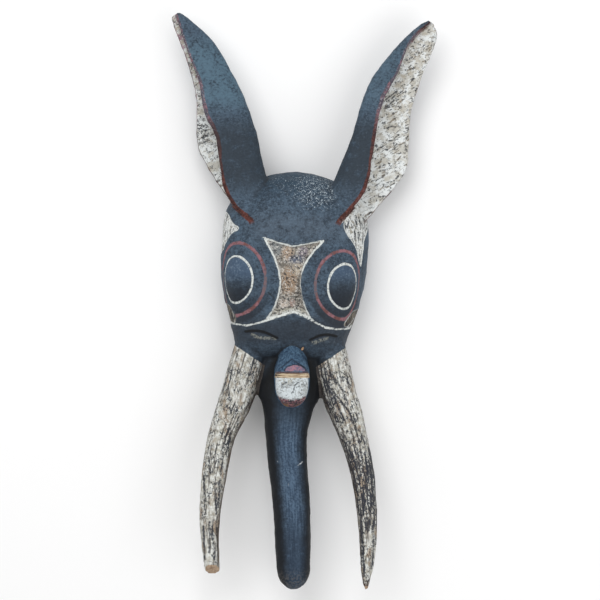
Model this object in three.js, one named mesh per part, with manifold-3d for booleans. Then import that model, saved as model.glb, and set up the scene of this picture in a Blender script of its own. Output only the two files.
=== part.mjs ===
import * as THREE from 'three';
import { mergeVertices } from 'three/addons/utils/BufferGeometryUtils.js';
import Module from 'manifold-3d';

// An elephant face mask with upright ears, carved from one block of wood. Millimetres.
// +X is the viewer's right, +Y runs up to the ear tips and +Z is the way the face looks.
// The mask lies on the flat rim of its hollow back, at z = 0, with the middle of its outline at the origin.
// Until the last step y = 0 is the level of the eyes and x = 0 is the middle of the face.

// Head
const headWidth = 220;
const headHeight = 292;
const headDepth = 132;
const faceWall = 16;
const groundDepth = 4;
const headRoll = -3;
const faceTurn = 0.06;

// Eyes and the openings to see through
const pupilRadius = 33;
const pupilBulge = 5;
const leftSlitWidth = 48;
const rightSlitWidth = 38;
const slitHeight = 3.6;
const slitArch = 5;

// Muzzle
const muzzleWidth = 51;
const muzzleReach = 152;
const upperLipHeight = 41;
const lowerLipHeight = 47;
const mouthGap = 6;
const mouthDepth = 7;

// Trunk
const trunkLength = 360;
const trunkWidth = 57;
const trunkThickness = 60;

// Tusks; the left one has lost its point
const tuskWidth = 54;
const leftTuskLength = 350;
const rightTuskLength = 375;
const breakSlope = 35;

// Ears
const earLength = 300;
const earRimDepth = 60;
const earWall = 9;
const leftEarLean = 20.7;
const rightEarLean = 26;

// Number of sides and steps of the faceted forms
const faceSides = 20;
const faceSteps = 18;
const crownSteps = 7;
const hollowSides = 14;
const hollowSteps = 10;
const limbSides = 16;
const limbSteps = 13;
const tipSteps = 5;
const earSides = 8;
const earSteps = 17;

const wasm = await Module();
wasm.setup();

const radians = THREE.MathUtils.degToRad;
const lerp = THREE.MathUtils.lerp;
const headHalf = headWidth / 2;

// Curve through points [share, value], each stretch a cubic that leaves and meets its points smoothly.
function curveThrough(points) {
  const last = points.length - 1;
  const slopeAt = (i) => {
    const before = points[Math.max(i - 1, 0)];
    const after = points[Math.min(i + 1, last)];
    return (after[1] - before[1]) / (after[0] - before[0]);
  };
  return (share) => {
    let i = 0;
    while (i < last - 1 && share > points[i + 1][0]) i += 1;
    const span = points[i + 1][0] - points[i][0];
    const t = THREE.MathUtils.clamp((share - points[i][0]) / span, 0, 1);
    const ease = t * t * (3 - 2 * t);
    const leave = slopeAt(i) * span * t * (1 - t) * (1 - t);
    const meet = slopeAt(i + 1) * span * t * t * (t - 1);
    return lerp(points[i][1], points[i + 1][1], ease) + leave + meet;
  };
}

// Point of an oval with squared shoulders: the exponent is 2 on an ellipse and more on a squarer form.
function squaredOval(angle, exponent) {
  const power = 2 / exponent;
  const across = Math.cos(angle);
  const along = Math.sin(angle);
  return [Math.sign(across) * Math.abs(across) ** power, Math.sign(along) * Math.abs(along) ** power];
}

function solidOf(vertices, triangles) {
  return new wasm.Manifold(new wasm.Mesh({
    numProp: 3,
    vertProperties: new Float32Array(vertices.flatMap((p) => [p.x, p.y, p.z])),
    triVerts: new Uint32Array(triangles.flat()),
  }));
}

// Closed solid through rings of equally many points; both ends are closed by strips between facing points.
function skin(rings) {
  const count = rings[0].length;
  const vertices = rings.flat();
  const triangles = [];
  for (let r = 0; r < rings.length - 1; r += 1) {
    for (let k = 0; k < count; k += 1) {
      const next = (k + 1) % count;
      const low = r * count;
      const high = low + count;
      triangles.push([low + k, low + next, high + next], [low + k, high + next, high + k]);
    }
  }
  const lastRing = (rings.length - 1) * count;
  for (let k = 0; k < count / 2 - 1; k += 1) {
    const facing = count - 1 - k;
    triangles.push([k, facing - 1, k + 1], [k, facing, facing - 1]);
    triangles.push([lastRing + k, lastRing + k + 1, lastRing + facing - 1]);
    triangles.push([lastRing + k, lastRing + facing - 1, lastRing + facing]);
  }
  const volume = triangles.reduce((sum, [a, b, c]) => (
    sum + vertices[a].dot(new THREE.Vector3().crossVectors(vertices[b], vertices[c]))), 0);
  return solidOf(vertices, volume > 0 ? triangles : triangles.map(([a, b, c]) => [a, c, b]));
}

function solidFromGeometry(geometry) {
  geometry.deleteAttribute('normal');
  geometry.deleteAttribute('uv');
  const merged = mergeVertices(geometry, 1e-4);
  return new wasm.Manifold(new wasm.Mesh({
    numProp: 3,
    vertProperties: new Float32Array(merged.attributes.position.array),
    triVerts: new Uint32Array(merged.index.array),
  }));
}

// The head leans a little to one side and looks slightly past the viewer's left shoulder.
function leanHead(point) {
  const roll = radians(headRoll);
  const x = point.x * Math.cos(roll) - point.y * Math.sin(roll);
  const y = point.x * Math.sin(roll) + point.y * Math.cos(roll);
  return new THREE.Vector3(x - faceTurn * (point.z - headDepth / 3), y, point.z);
}

// Place on the head, as shares of its half-width, height and depth.
function headPoint(across, up, forward) {
  return new THREE.Vector3(across * headHalf, up * headHeight, forward * headDepth);
}

// Outline and profile of the head, as shares, from the chin to where the crown starts.
const chinShare = -0.435;
const crownStart = 0.264;
const crownShare = 0.565;
const widestDepth = 0.34;
const halfWidthAt = curveThrough([
  [-0.435, 0.41], [-0.384, 0.60], [-0.329, 0.735], [-0.277, 0.775], [-0.226, 0.82],
  [-0.158, 0.877], [-0.089, 0.925], [0.034, 0.985], [0.171, 1], [0.264, 0.995],
]);
const frontAt = curveThrough([
  [-0.435, 0.47], [-0.384, 0.63], [-0.329, 0.735], [-0.277, 0.80], [-0.226, 0.845],
  [-0.158, 0.90], [-0.068, 0.955], [0.034, 0.985], [0.171, 1], [0.264, 1],
]);
const squarenessAt = curveThrough([[-0.435, 2.4], [-0.277, 3], [-0.1, 2.35], [0.264, 2.3], [0.565, 2.1]]);

// One level of the head: a D with its flat side on the rim plane, narrowed a little behind its widest line.
function headRing(up, half, front, widest, squareness, sides, inset, rim) {
  const narrow = (headHalf - inset) / headHalf;
  const shallow = (headDepth - headDepth * widestDepth - inset) / (headDepth - headDepth * widestDepth);
  const ring = [];
  const rimTuck = 0.05;
  const sideSteps = 3;
  for (let k = 0; k < sideSteps; k += 1) {
    const back = 1 - k / sideSteps;
    const z = lerp(widest, rim, back);
    ring.push([half * narrow * (1 - rimTuck * back * back), z]);
  }
  for (let k = 0; k <= sides; k += 1) {
    const [across, along] = squaredOval(Math.PI * k / sides, squareness);
    ring.push([half * narrow * across, widest + (front - widest) * shallow * along]);
  }
  for (let k = sideSteps - 1; k >= 0; k -= 1) ring.push([-ring[k][0], ring[k][1]]);
  return ring.map(([x, z]) => leanHead(new THREE.Vector3(x, up, z)));
}

// The whole head, or the same form with its skin moved in by an inset and its open side at the rim level.
function headSolid(inset, rim, sides, steps) {
  const chin = chinShare * headHeight;
  const crown = crownShare * headHeight;
  const middle = (chin + crown) / 2;
  const shorten = (crown - chin - 2 * inset) / (crown - chin);
  const level = (up) => middle + (up * headHeight - middle) * shorten;
  const widest = widestDepth * headDepth;
  const rings = [];
  for (let k = 0; k <= steps; k += 1) {
    const up = lerp(chinShare, crownStart, k / steps);
    rings.push(headRing(level(up), halfWidthAt(up) * headHalf, frontAt(up) * headDepth, widest,
      squarenessAt(up), sides, inset, rim));
  }
  for (let k = 1; k <= crownSteps; k += 1) {
    const angle = Math.PI / 2 * Math.min(k / crownSteps, 0.985);
    const up = lerp(crownStart, crownShare, Math.sin(angle));
    const half = halfWidthAt(crownStart) * headHalf * Math.cos(angle);
    const front = widest + (headDepth - widest) * Math.cos(angle);
    rings.push(headRing(level(up), half, front, widest, squarenessAt(up), sides, inset, rim));
  }
  return skin(rings);
}

// Upright block over an outline on the face, given in millimetres, from one depth to another.
function faceBlock(outline, from, to) {
  const shape = new THREE.Shape(outline.map(([x, y]) => new THREE.Vector2(x, y)));
  const geometry = new THREE.ExtrudeGeometry(shape, { depth: to - from, bevelEnabled: false });
  geometry.translate(0, 0, from);
  const position = geometry.attributes.position;
  for (let i = 0; i < position.count; i += 1) {
    const leant = leanHead(new THREE.Vector3().fromBufferAttribute(position, i));
    position.setXYZ(i, leant.x, leant.y, leant.z);
  }
  return solidFromGeometry(geometry);
}

// Bridge of the nose, where the sunken ground shows: an hourglass between the raised eye discs.
function bridgeOutline() {
  const bottom = -0.19 * headHeight;
  const top = 0.222 * headHeight;
  const waist = -0.02 * headHeight;
  const steps = 9;
  const edge = (side) => Array.from({ length: steps + 1 }, (_, k) => {
    const y = lerp(bottom, top, k / steps);
    const flare = (y - waist) / (0.17 * headHeight);
    return [side * (0.136 + 0.136 * flare * flare) * headHalf, y];
  });
  const brow = [[0.2, 0.198], [0, 0.185], [-0.2, 0.198]];
  const nose = [[-0.15, -0.166], [0, -0.158], [0.15, -0.166]];
  const placed = (points) => points.map(([across, up]) => [across * headHalf, up * headHeight]);
  return [...edge(1), ...placed(brow), ...edge(-1).reverse(), ...placed(nose)];
}

// Three-cornered patches of the ground on the temples and cheeks, no two alike, as shares of the head.
const groundCorners = [
  [[0.66, 0.30], [0.76, 0.248], [0.895, 0.115], [1.1, 0.16], [1.1, 0.34], [0.86, 0.36]],
  [[0.868, -0.114], [0.825, -0.151], [0.70, -0.209], [0.80, -0.222], [1.05, -0.222], [1.05, -0.114]],
  [[-0.92, 0.33], [-1.1, 0.34], [-1.1, 0.123], [-0.96, 0.123], [-0.905, 0.197], [-0.795, 0.26]],
  [[-0.876, -0.142], [-1.05, -0.142], [-1.05, -0.238], [-0.8, -0.238], [-0.735, -0.227]],
];

function sunkenGround() {
  const corners = groundCorners.map((corner) => (
    corner.map(([across, up]) => [across * headHalf, up * headHeight])));
  const inside = headSolid(groundDepth, -headDepth, faceSides, faceSteps);
  return [bridgeOutline(), ...corners].map((outline) => (
    faceBlock(outline, widestDepth * headDepth, 2 * headDepth).subtract(inside)));
}

// Domed pupil on each side of the face, round when it is looked at along its own axis. The dome's half-sizes
// are shares of the pupil's radius, and the skin of the face lies at a share of the head's half-width.
const eyeTurn = 48.5;
const eyeAcross = 0.123;
const eyeSkin = 0.85;
const domeShares = new THREE.Vector3(1.1, 1.75, 0.9);
function pupil(side) {
  const turn = radians(eyeTurn) * side;
  const girth = domeShares.clone().multiplyScalar(pupilRadius);
  const centre = eyeSkin * headHalf + pupilBulge - girth.z;
  const dome = new THREE.SphereGeometry(1, 20, 14);
  dome.scale(girth.x, girth.y, girth.z);
  dome.rotateY(turn);
  dome.translate(side * eyeAcross * headHalf + Math.sin(turn) * centre, 0,
    widestDepth * headDepth + Math.cos(turn) * centre);
  const position = dome.attributes.position;
  for (let i = 0; i < position.count; i += 1) {
    const leant = leanHead(new THREE.Vector3().fromBufferAttribute(position, i));
    position.setXYZ(i, leant.x, leant.y, leant.z);
  }
  return solidFromGeometry(dome);
}

// Narrow arched slit under each eye disc, cut through the face.
function eyeSlit(side, inner, slitWidth) {
  const steps = 6;
  const edge = (offset) => Array.from({ length: steps + 1 }, (_, k) => {
    const t = k / steps;
    const taper = offset * Math.sin(Math.PI * lerp(0.12, 0.88, t));
    const rise = slitArch * Math.sin(Math.PI * t) + lerp(0, 0.024 * headHeight, t);
    return [side * (inner * headHalf + slitWidth * t), -0.291 * headHeight + rise + taper];
  });
  const outline = [...edge(slitHeight / 2), ...edge(-slitHeight / 2).reverse()];
  return faceBlock(outline, 0.35 * headDepth, headDepth * 1.2);
}

// Limb of ovals set square to a path from its root to its tip, with the last stretch rounded off.
function limb(path, width, thickness, squareness, rounding) {
  const body = Array.from({ length: limbSteps + 1 }, (_, k) => [(1 - rounding) * k / limbSteps, 1]);
  const tip = Array.from({ length: rounding > 0 ? tipSteps : 0 }, (_, k) => {
    const angle = Math.PI / 2 * Math.min((k + 1) / tipSteps, 0.95);
    return [1 - rounding + rounding * Math.sin(angle), Math.cos(angle)];
  });
  const step = 0.002;
  return skin([...body, ...tip].map(([share, round]) => {
    const ahead = path(Math.min(share + step, 1)).sub(path(Math.max(share - step, 0))).normalize();
    const side = new THREE.Vector3(-ahead.y, ahead.x, 0).normalize();
    const front = new THREE.Vector3().crossVectors(side, ahead);
    return Array.from({ length: limbSides }, (_, k) => {
      const [across, along] = squaredOval(2 * Math.PI * (k + 0.5) / limbSides, squareness);
      return path(share)
        .addScaledVector(side, across * round * width(share) / 2)
        .addScaledVector(front, along * round * thickness(share) / 2);
    });
  }));
}

// The trunk hangs from under the muzzle, straight down, and swings forward a little.
function trunk() {
  const root = headPoint(-0.02, -0.34, 0.34);
  const aside = curveThrough([[0, 0], [0.2, -0.012], [0.36, -0.021], [0.52, -0.012], [0.67, 0.001],
    [0.84, 0.006], [1, 0.01]]);
  const forward = curveThrough([[0, 0], [0.2, 0.045], [0.4, 0.06], [1, 0.135]]);
  const path = (share) => root.clone().add(new THREE.Vector3(
    aside(share) * trunkLength, -share * trunkLength, forward(share) * trunkLength));
  const girth = curveThrough([[0, 1.6], [0.2, 1.6], [0.235, 1.4], [0.29, 1.22], [0.36, 1.09], [0.51, 1.005],
    [0.67, 0.97], [0.84, 0.91], [0.915, 0.86], [1, 0.82]]);
  const depth = curveThrough([[0, 1.1], [0.25, 1.15], [0.6, 1], [1, 0.85]]);
  return limb(path, (share) => girth(share) * trunkWidth, (share) => depth(share) * trunkThickness, 2.6, 0.08);
}

// Each tusk grows out of the cheek, sweeps outwards and turns back in towards its tip.
function tusk(length, root, aside, forward, girth, rounding) {
  const path = (share) => root.clone().add(new THREE.Vector3(
    aside(share) * length, -share * length, forward(share) * length));
  const width = (share) => girth(share) * tuskWidth;
  return limb(path, width, width, 2.2, rounding);
}

function leftTusk() {
  const root = headPoint(-0.527, -0.291, 0.44);
  const aside = curveThrough([[0, 0], [0.244, -0.072], [0.41, -0.138], [0.575, -0.17], [0.79, -0.19],
    [1, -0.178]]);
  const forward = curveThrough([[0, 0], [0.4, 0.03], [1, 0.13]]);
  const girth = curveThrough([[0, 0.95], [0.244, 0.95], [0.41, 0.76], [0.575, 0.68], [0.74, 0.59], [0.905, 0.46],
    [1, 0.40]]);
  const whole = tusk(leftTuskLength, root, aside, forward, girth, 0);
  const tip = root.clone().add(new THREE.Vector3(
    aside(1) * leftTuskLength, -leftTuskLength, forward(1) * leftTuskLength));
  const chip = new THREE.BoxGeometry(tuskWidth, tuskWidth, tuskWidth);
  chip.translate(0, -tuskWidth / 2, 0);
  chip.rotateX(radians(-breakSlope));
  chip.translate(tip.x, tip.y + 0.1 * tuskWidth, tip.z);
  return whole.subtract(solidFromGeometry(chip));
}

function rightTusk() {
  const root = headPoint(0.455, -0.291, 0.44);
  const aside = curveThrough([[0, 0], [0.08, 0.02], [0.23, 0.053], [0.304, 0.08], [0.533, 0.143], [0.763, 0.165],
    [1, 0.157]]);
  const forward = curveThrough([[0, 0], [0.4, 0.03], [1, 0.13]]);
  const girth = curveThrough([[0, 0.9], [0.16, 0.95], [0.3, 0.9], [0.38, 0.78], [0.533, 0.65], [0.685, 0.56],
    [0.84, 0.43], [1, 0.3]]);
  return tusk(rightTuskLength, root, aside, forward, girth, 0.14);
}

// Ear: a tall leaf-shaped shell. Its fold faces the other ear and its two rims open outwards. Where the leaf
// is narrow its bend keeps a least reach, and its wall thins to a share of the bend or of the half depth.
const leastBend = 2;
const wallShareOfBend = 0.6;
const wallShareOfDepth = 0.8;
function ear(side, lean, root, fold, frontRim, backRim) {
  const outwards = new THREE.Vector3(side * Math.cos(radians(lean)), -Math.sin(radians(lean)), 0);
  const upwards = new THREE.Vector3(side * Math.sin(radians(lean)), Math.cos(radians(lean)), 0);
  const lift = curveThrough([[-0.1, 0.9], [0, 0.84], [0.15, 0.77], [0.5, 0.68], [1, 0.6]]);
  const rings = [];
  for (let k = 0; k <= earSteps; k += 1) {
    const share = lerp(-0.1, 1, Math.sin(Math.PI / 2 * k / earSteps) ** 0.85);
    const front = frontRim(share) * earLength;
    const back = backRim(share) * earLength;
    const frontZ = lift(share) * headDepth;
    const along = Math.max(share, 0);
    const half = earRimDepth / 2 * (1 - 0.55 * along ** 1.5) * Math.sqrt(1 - 0.85 * along ** 12);
    const middle = (front + back) / 2;
    const slant = (front - back) / 2;
    const reach = middle - fold(share) * earLength;
    const bend = Math.sqrt(Math.max(reach * reach - slant * slant, leastBend ** 2));
    const wall = Math.min(earWall, bend * wallShareOfBend, half * wallShareOfDepth);
    const at = (angle, inset) => root.clone()
      .addScaledVector(upwards, share * earLength)
      .addScaledVector(outwards, middle + slant * Math.sin(angle) - (bend - inset) * Math.cos(angle))
      .setZ(frontZ - half + (half - inset) * Math.sin(angle));
    const angles = Array.from({ length: earSides + 1 }, (_, j) => Math.PI * (j / earSides - 0.5));
    rings.push([...angles.map((angle) => at(angle, 0)), ...angles.reverse().map((angle) => at(angle, wall))]);
  }
  return skin(rings);
}

function leftEar() {
  const fold = curveThrough([[-0.1, -0.13], [0.1, -0.148], [0.3, -0.175], [0.45, -0.182], [0.6, -0.172],
    [0.8, -0.137], [0.9, -0.092], [0.98, -0.045], [1, -0.025]]);
  const front = curveThrough([[-0.1, 0.009], [0, 0.06], [0.1, 0.075], [0.2, 0.055], [0.35, 0.023], [0.5, 0.03],
    [0.65, 0.002], [0.85, 0], [1, -0.008]]);
  const back = curveThrough([[-0.1, 0.02], [0.1, 0.086], [0.32, 0.122], [0.45, 0.09], [0.55, 0.05], [0.7, 0.025],
    [0.98, 0.02], [1, 0.008]]);
  return ear(-1, leftEarLean, headPoint(-0.655, 0.411, 0), fold, front, back);
}

function rightEar() {
  const fold = curveThrough([[-0.1, -0.09], [0.1, -0.088], [0.3, -0.103], [0.55, -0.142], [0.7, -0.128],
    [0.87, -0.081], [0.96, -0.045], [1, -0.015]]);
  const front = curveThrough([[-0.1, 0.03], [0, 0.06], [0.1, 0.075], [0.25, 0.038], [0.4, -0.008], [0.55, -0.042],
    [0.7, -0.036], [0.87, -0.046], [1, 0]]);
  const back = curveThrough([[-0.1, 0.13], [0.04, 0.165], [0.2, 0.205], [0.28, 0.215], [0.4, 0.172], [0.55, 0.11],
    [0.75, 0.079], [0.9, 0.068], [0.97, 0.045], [1, 0.012]]);
  return ear(1, rightEarLean, headPoint(0.682, 0.411, 0), fold, front, back);
}

// The muzzle stands straight out of the face, arched above and rounded below.
function muzzle() {
  const lips = -0.477 * headHeight;
  const start = 0.45 * headDepth;
  const rise = curveThrough([[0, 1.2], [0.45, 1], [0.75, 0.62], [0.93, 0.42], [1, 0.25]]);
  const drop = curveThrough([[0, 0.9], [0.3, 1], [0.8, 1], [0.93, 0.94], [1, 0.72]]);
  const narrowing = curveThrough([[0, 1], [0.85, 1], [0.95, 0.95], [1, 0.8]]);
  const sides = 24;
  const rings = [0, 0.25, 0.45, 0.6, 0.75, 0.87, 0.95, 1].map((share) => (
    Array.from({ length: sides }, (_, k) => {
      const angle = 2 * Math.PI * (k + 0.5) / sides;
      const upper = angle < Math.PI;
      const [across, along] = squaredOval(angle, upper ? 1.8 : 2.4);
      const reach = upper ? upperLipHeight * rise(share) : lowerLipHeight * drop(share);
      return new THREE.Vector3(
        across * narrowing(share) * muzzleWidth / 2 - 0.014 * headHalf,
        lips + along * reach,
        lerp(start, muzzleReach, share));
    })));
  const gap = new THREE.BoxGeometry(muzzleWidth * 1.2, mouthGap, mouthDepth * 2);
  gap.translate(-0.014 * headHalf, lips, muzzleReach);
  return skin(rings).subtract(solidFromGeometry(gap));
}

// The hollow behind the face follows the head's outer form and is open at the rim.
function hollow() {
  return headSolid(faceWall, -headDepth, hollowSides, hollowSteps);
}

function carvedMask() {
  const head = headSolid(0, 0, faceSides, faceSteps);
  const face = sunkenGround().reduce((solid, ground) => solid.subtract(ground), head);
  const limbs = [leftEar(), rightEar(), trunk(), leftTusk(), rightTusk(), muzzle(), pupil(1), pupil(-1)];
  const block = limbs.reduce((solid, piece) => solid.add(piece), face);
  const cuts = [hollow(), eyeSlit(1, 0.31, rightSlitWidth), eyeSlit(-1, 0.145, leftSlitWidth)];
  return cuts.reduce((solid, cut) => solid.subtract(cut), block);
}

function geometryOf(solid) {
  const mesh = solid.getMesh();
  const geometry = new THREE.BufferGeometry();
  geometry.setAttribute('position', new THREE.Float32BufferAttribute(mesh.vertProperties, 3));
  geometry.setIndex(new THREE.BufferAttribute(mesh.triVerts, 1));
  geometry.computeVertexNormals();
  return geometry;
}

// Bring the middle of the outline over the origin.
function centred(geometry) {
  geometry.computeBoundingBox();
  const middle = geometry.boundingBox.getCenter(new THREE.Vector3());
  geometry.translate(-middle.x, -middle.y, 0);
  return geometry;
}

const paintedWood = new THREE.MeshStandardMaterial({ color: 0x46525f, roughness: 0.8, metalness: 0 });
const mask = new THREE.Mesh(centred(geometryOf(carvedMask())), paintedWood);
mask.name = 'carved_mask';

const model = new THREE.Group();
model.add(mask);

export default model;
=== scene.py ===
import math

import bpy
import numpy as np
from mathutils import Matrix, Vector


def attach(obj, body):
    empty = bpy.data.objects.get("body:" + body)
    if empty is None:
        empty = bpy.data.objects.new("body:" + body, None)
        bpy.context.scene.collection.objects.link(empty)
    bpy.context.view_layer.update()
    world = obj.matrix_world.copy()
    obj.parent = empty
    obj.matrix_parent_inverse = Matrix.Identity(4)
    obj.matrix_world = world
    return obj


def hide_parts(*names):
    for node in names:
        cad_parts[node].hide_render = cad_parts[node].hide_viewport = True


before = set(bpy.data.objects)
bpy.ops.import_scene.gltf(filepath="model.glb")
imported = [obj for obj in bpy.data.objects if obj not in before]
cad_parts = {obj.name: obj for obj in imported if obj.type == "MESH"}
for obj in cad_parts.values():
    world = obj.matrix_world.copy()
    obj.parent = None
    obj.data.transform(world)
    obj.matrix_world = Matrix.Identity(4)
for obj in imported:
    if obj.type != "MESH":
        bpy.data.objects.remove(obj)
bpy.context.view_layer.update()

# Everything is worked out in millimetres, with y = 0 at the level of the eyes and x = 0 in the middle of
# the face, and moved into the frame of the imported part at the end.
MILLIMETRE = 0.001
OUTLINE_MIDDLE = (16.54, -28.31)

# The photograph: millimetres to a pixel, and the pixel between the eyes
PIXEL = 1.5
FACE_MIDDLE_PIXEL = (293, 282)

# Head
HEAD_HALF = 110.0
HEAD_HEIGHT = 292.0
HEAD_DEPTH = 132.0
FACE_WALL = 16.0
WIDEST_DEPTH = 0.34
CHIN_SHARE = -0.435
CROWN_START = 0.264
CROWN_SHARE = 0.565
HEAD_ROLL = math.radians(-3)
FACE_TURN = 0.06
GROUND_DEPTH = 4.0
TEMPLE_DEPTH = 1.6

# Painted rings round the eyes, on the head's skin laid flat: middle across and up, half-width, half-height
WHITE_RINGS = [(-79.4, -0.8, 28.9, 35.0), (77.3, -2.6, 25.6, 33.6)]
RED_RINGS = [(-75.9, -0.2, 43.6, 54.3), (72.3, -0.6, 38.0, 51.0)]
PUPIL_MARGIN = 2.0
PUPIL_BULGE = 5.0
SLIT_HEIGHT = 3.6
SLIT_ARCH = 5.0
SLIT_BED = 4.0

# Muzzle
MUZZLE_ROOT = 0.45 * HEAD_DEPTH
MUZZLE_X = -1.5
MUZZLE_WIDTH = 51.0
MUZZLE_REACH = 152.0
LIPS_Y = -139.3
UPPER_LIP = 41.0
LOWER_LIP = 47.0
MOUTH_GAP = 6.0
MOUTH_DEPTH = 7.0

# Trunk, tusks and ears
TRUNK_LENGTH = 360.0
TRUNK_WIDTH = 57.0
TRUNK_THICKNESS = 60.0
TRUNK_SQUARENESS = 2.6
TUSK_WIDTH = 54.0
TUSK_SQUARENESS = 2.2
LEFT_TUSK_LENGTH = 350.0
RIGHT_TUSK_LENGTH = 375.0
BREAK_SLOPE = math.radians(35)
BREAK_RISE = 0.1 * TUSK_WIDTH
EAR_LENGTH = 300.0
EAR_RIM_DEPTH = 60.0
EAR_WALL = 9.0
EAR_START = -0.1

# Where the left side of the face ends and the right side begins, for what grows out of it
LEFT_END = -3.0

# Tool marks of the wide and the narrow gouge: size, seed, depth outside and depth in the hollow
GOUGES = [(17, 3, 1.3, 2.6), (8, 4, 0.45, 0.8)]
BOWL_MEAN = 0.28

# The camera, in metres: the middle of its view, the width that it sees, the level that it is set for, and how
# far above that level it is
VIEW_MIDDLE = (0.0105, -0.027)
VIEW_WIDTH = 0.9
VIEW_LEVEL = 0.06
VIEW_REACH = 9.0

# Size of the small squares that the carved skin is made of
SKIN_SQUARE = 2.7


def curve_through(points):
    """Curve through [share, value] points, each stretch a cubic that leaves and meets its points smoothly."""
    at, value = np.array(points, float).T
    slope = np.gradient(value)
    slope[1:-1] = (value[2:] - value[:-2]) / (at[2:] - at[:-2])
    slope[0] = (value[1] - value[0]) / (at[1] - at[0])
    slope[-1] = (value[-1] - value[-2]) / (at[-1] - at[-2])

    def curve(share):
        share = np.asarray(share, float)
        i = np.clip(np.searchsorted(at, share) - 1, 0, len(at) - 2)
        span = at[i + 1] - at[i]
        t = np.clip((share - at[i]) / span, 0, 1)
        ease = t * t * (3 - 2 * t)
        leave = slope[i] * span * t * (1 - t) ** 2
        meet = slope[i + 1] * span * t * t * (t - 1)
        return value[i] + (value[i + 1] - value[i]) * ease + leave + meet

    return curve


def squared_oval(angle, exponent):
    """Cosine and sine of the angle, each raised to 2 / exponent with its sign kept."""
    power = 2 / exponent
    across, along = np.cos(angle), np.sin(angle)
    return np.sign(across) * np.abs(across) ** power, np.sign(along) * np.abs(along) ** power


def smooth_step(low, high, value):
    t = np.clip((value - low) / (high - low), 0, 1)
    return t * t * (3 - 2 * t)


def lean_head(points):
    """The head's own x, y, z turned three degrees about z, then slid sideways in proportion to depth."""
    x, y, z = np.moveaxis(points, -1, 0)
    turned_x = x * math.cos(HEAD_ROLL) - y * math.sin(HEAD_ROLL)
    turned_y = x * math.sin(HEAD_ROLL) + y * math.cos(HEAD_ROLL)
    return np.stack([turned_x - FACE_TURN * (z - HEAD_DEPTH / 3), turned_y, z], -1)


def straighten_head(points):
    """The same lean taken back: slide first, then the opposite turn."""
    x, y, z = np.moveaxis(points, -1, 0)
    x = x + FACE_TURN * (z - HEAD_DEPTH / 3)
    own_x = x * math.cos(HEAD_ROLL) + y * math.sin(HEAD_ROLL)
    own_y = -x * math.sin(HEAD_ROLL) + y * math.cos(HEAD_ROLL)
    return np.stack([own_x, own_y, z], -1)


half_width_at = curve_through([
    [-0.435, 0.41], [-0.384, 0.60], [-0.329, 0.735], [-0.277, 0.775], [-0.226, 0.82],
    [-0.158, 0.877], [-0.089, 0.925], [0.034, 0.985], [0.171, 1], [0.264, 0.995],
])
front_at = curve_through([
    [-0.435, 0.47], [-0.384, 0.63], [-0.329, 0.735], [-0.277, 0.80], [-0.226, 0.845],
    [-0.158, 0.90], [-0.068, 0.955], [0.034, 0.985], [0.171, 1], [0.264, 1],
])
squareness_at = curve_through([[-0.435, 2.4], [-0.277, 3], [-0.1, 2.35], [0.264, 2.3], [0.565, 2.1]])


def skin(rings):
    """Vertices and quads through an array of rings; each end is closed by strips between facing points."""
    count, around = rings.shape[:2]
    low, k = np.meshgrid(np.arange(count - 1) * around, np.arange(around), indexing="ij")
    after = (k + 1) % around
    wall = np.stack([low + k, low + after, low + around + after, low + around + k], -1).reshape(-1, 4)
    j = np.arange(around // 2 - 1)
    near = np.stack([j, around - 1 - j, around - 2 - j, j + 1], -1)
    far = (count - 1) * around + near[:, ::-1]
    vertices = rings.reshape(-1, 3)
    quads = np.concatenate([wall, near, far])
    a, b, c, d = (vertices[quads[:, i]] for i in range(4))
    volume = (a * np.cross(b, c)).sum() + (a * np.cross(c, d)).sum()
    return vertices, quads if volume > 0 else quads[:, ::-1]


def head_rings(inset, rim, levels, sides):
    """Levels of the head: a D with its flat side on the rim plane, moved in by the inset."""
    chin, crown = CHIN_SHARE * HEAD_HEIGHT, CROWN_SHARE * HEAD_HEIGHT
    middle = (chin + crown) / 2
    shorten = (crown - chin - 2 * inset) / (crown - chin)
    widest = WIDEST_DEPTH * HEAD_DEPTH
    narrow = (HEAD_HALF - inset) / HEAD_HALF
    shallow = (HEAD_DEPTH - widest - inset) / (HEAD_DEPTH - widest)
    face = np.linspace(CHIN_SHARE, CROWN_START, levels)
    lift = np.sin(np.linspace(0, math.radians(88.6), levels // 2))[1:]
    crown_part = CROWN_START + (CROWN_SHARE - CROWN_START) * lift
    shares = np.concatenate([face, crown_part])
    fade = np.concatenate([np.ones(levels), np.sqrt(1 - lift ** 2)])
    half = (half_width_at(np.minimum(shares, CROWN_START)) * HEAD_HALF * fade * narrow)[:, None]
    front = front_at(np.minimum(shares, CROWN_START)) * HEAD_DEPTH
    front = (widest + (front - widest) * fade)[:, None]
    squareness = squareness_at(shares)[:, None]
    back = np.linspace(1, 0, 12, endpoint=False)[None, :]
    side_x = half * (1 - 0.05 * back ** 2)
    side_z = widest + (rim - widest) * back + 0 * half
    across, along = squared_oval(np.linspace(0, math.pi, sides)[None, :], squareness)
    x = np.concatenate([side_x, half * across, -side_x[:, ::-1]], 1)
    z = np.concatenate([side_z, widest + (front - widest) * shallow * along, side_z[:, ::-1]], 1)
    y = (middle + (shares * HEAD_HEIGHT - middle) * shorten)[:, None] + 0 * x
    return lean_head(np.stack([x, y, z], -1))


def limb_shape(root, length, aside, forward, half_width, half_depth, squareness):
    """A limb's path and half-sizes, as functions of the share of its length measured straight down."""
    root = np.array(root, float)

    def path(share):
        share = np.asarray(share, float)
        return root + np.stack([aside(share), -share, forward(share)], -1) * length

    return {"path": path, "root": root, "length": length, "half_width": half_width, "half_depth": half_depth,
            "squareness": squareness}


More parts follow.
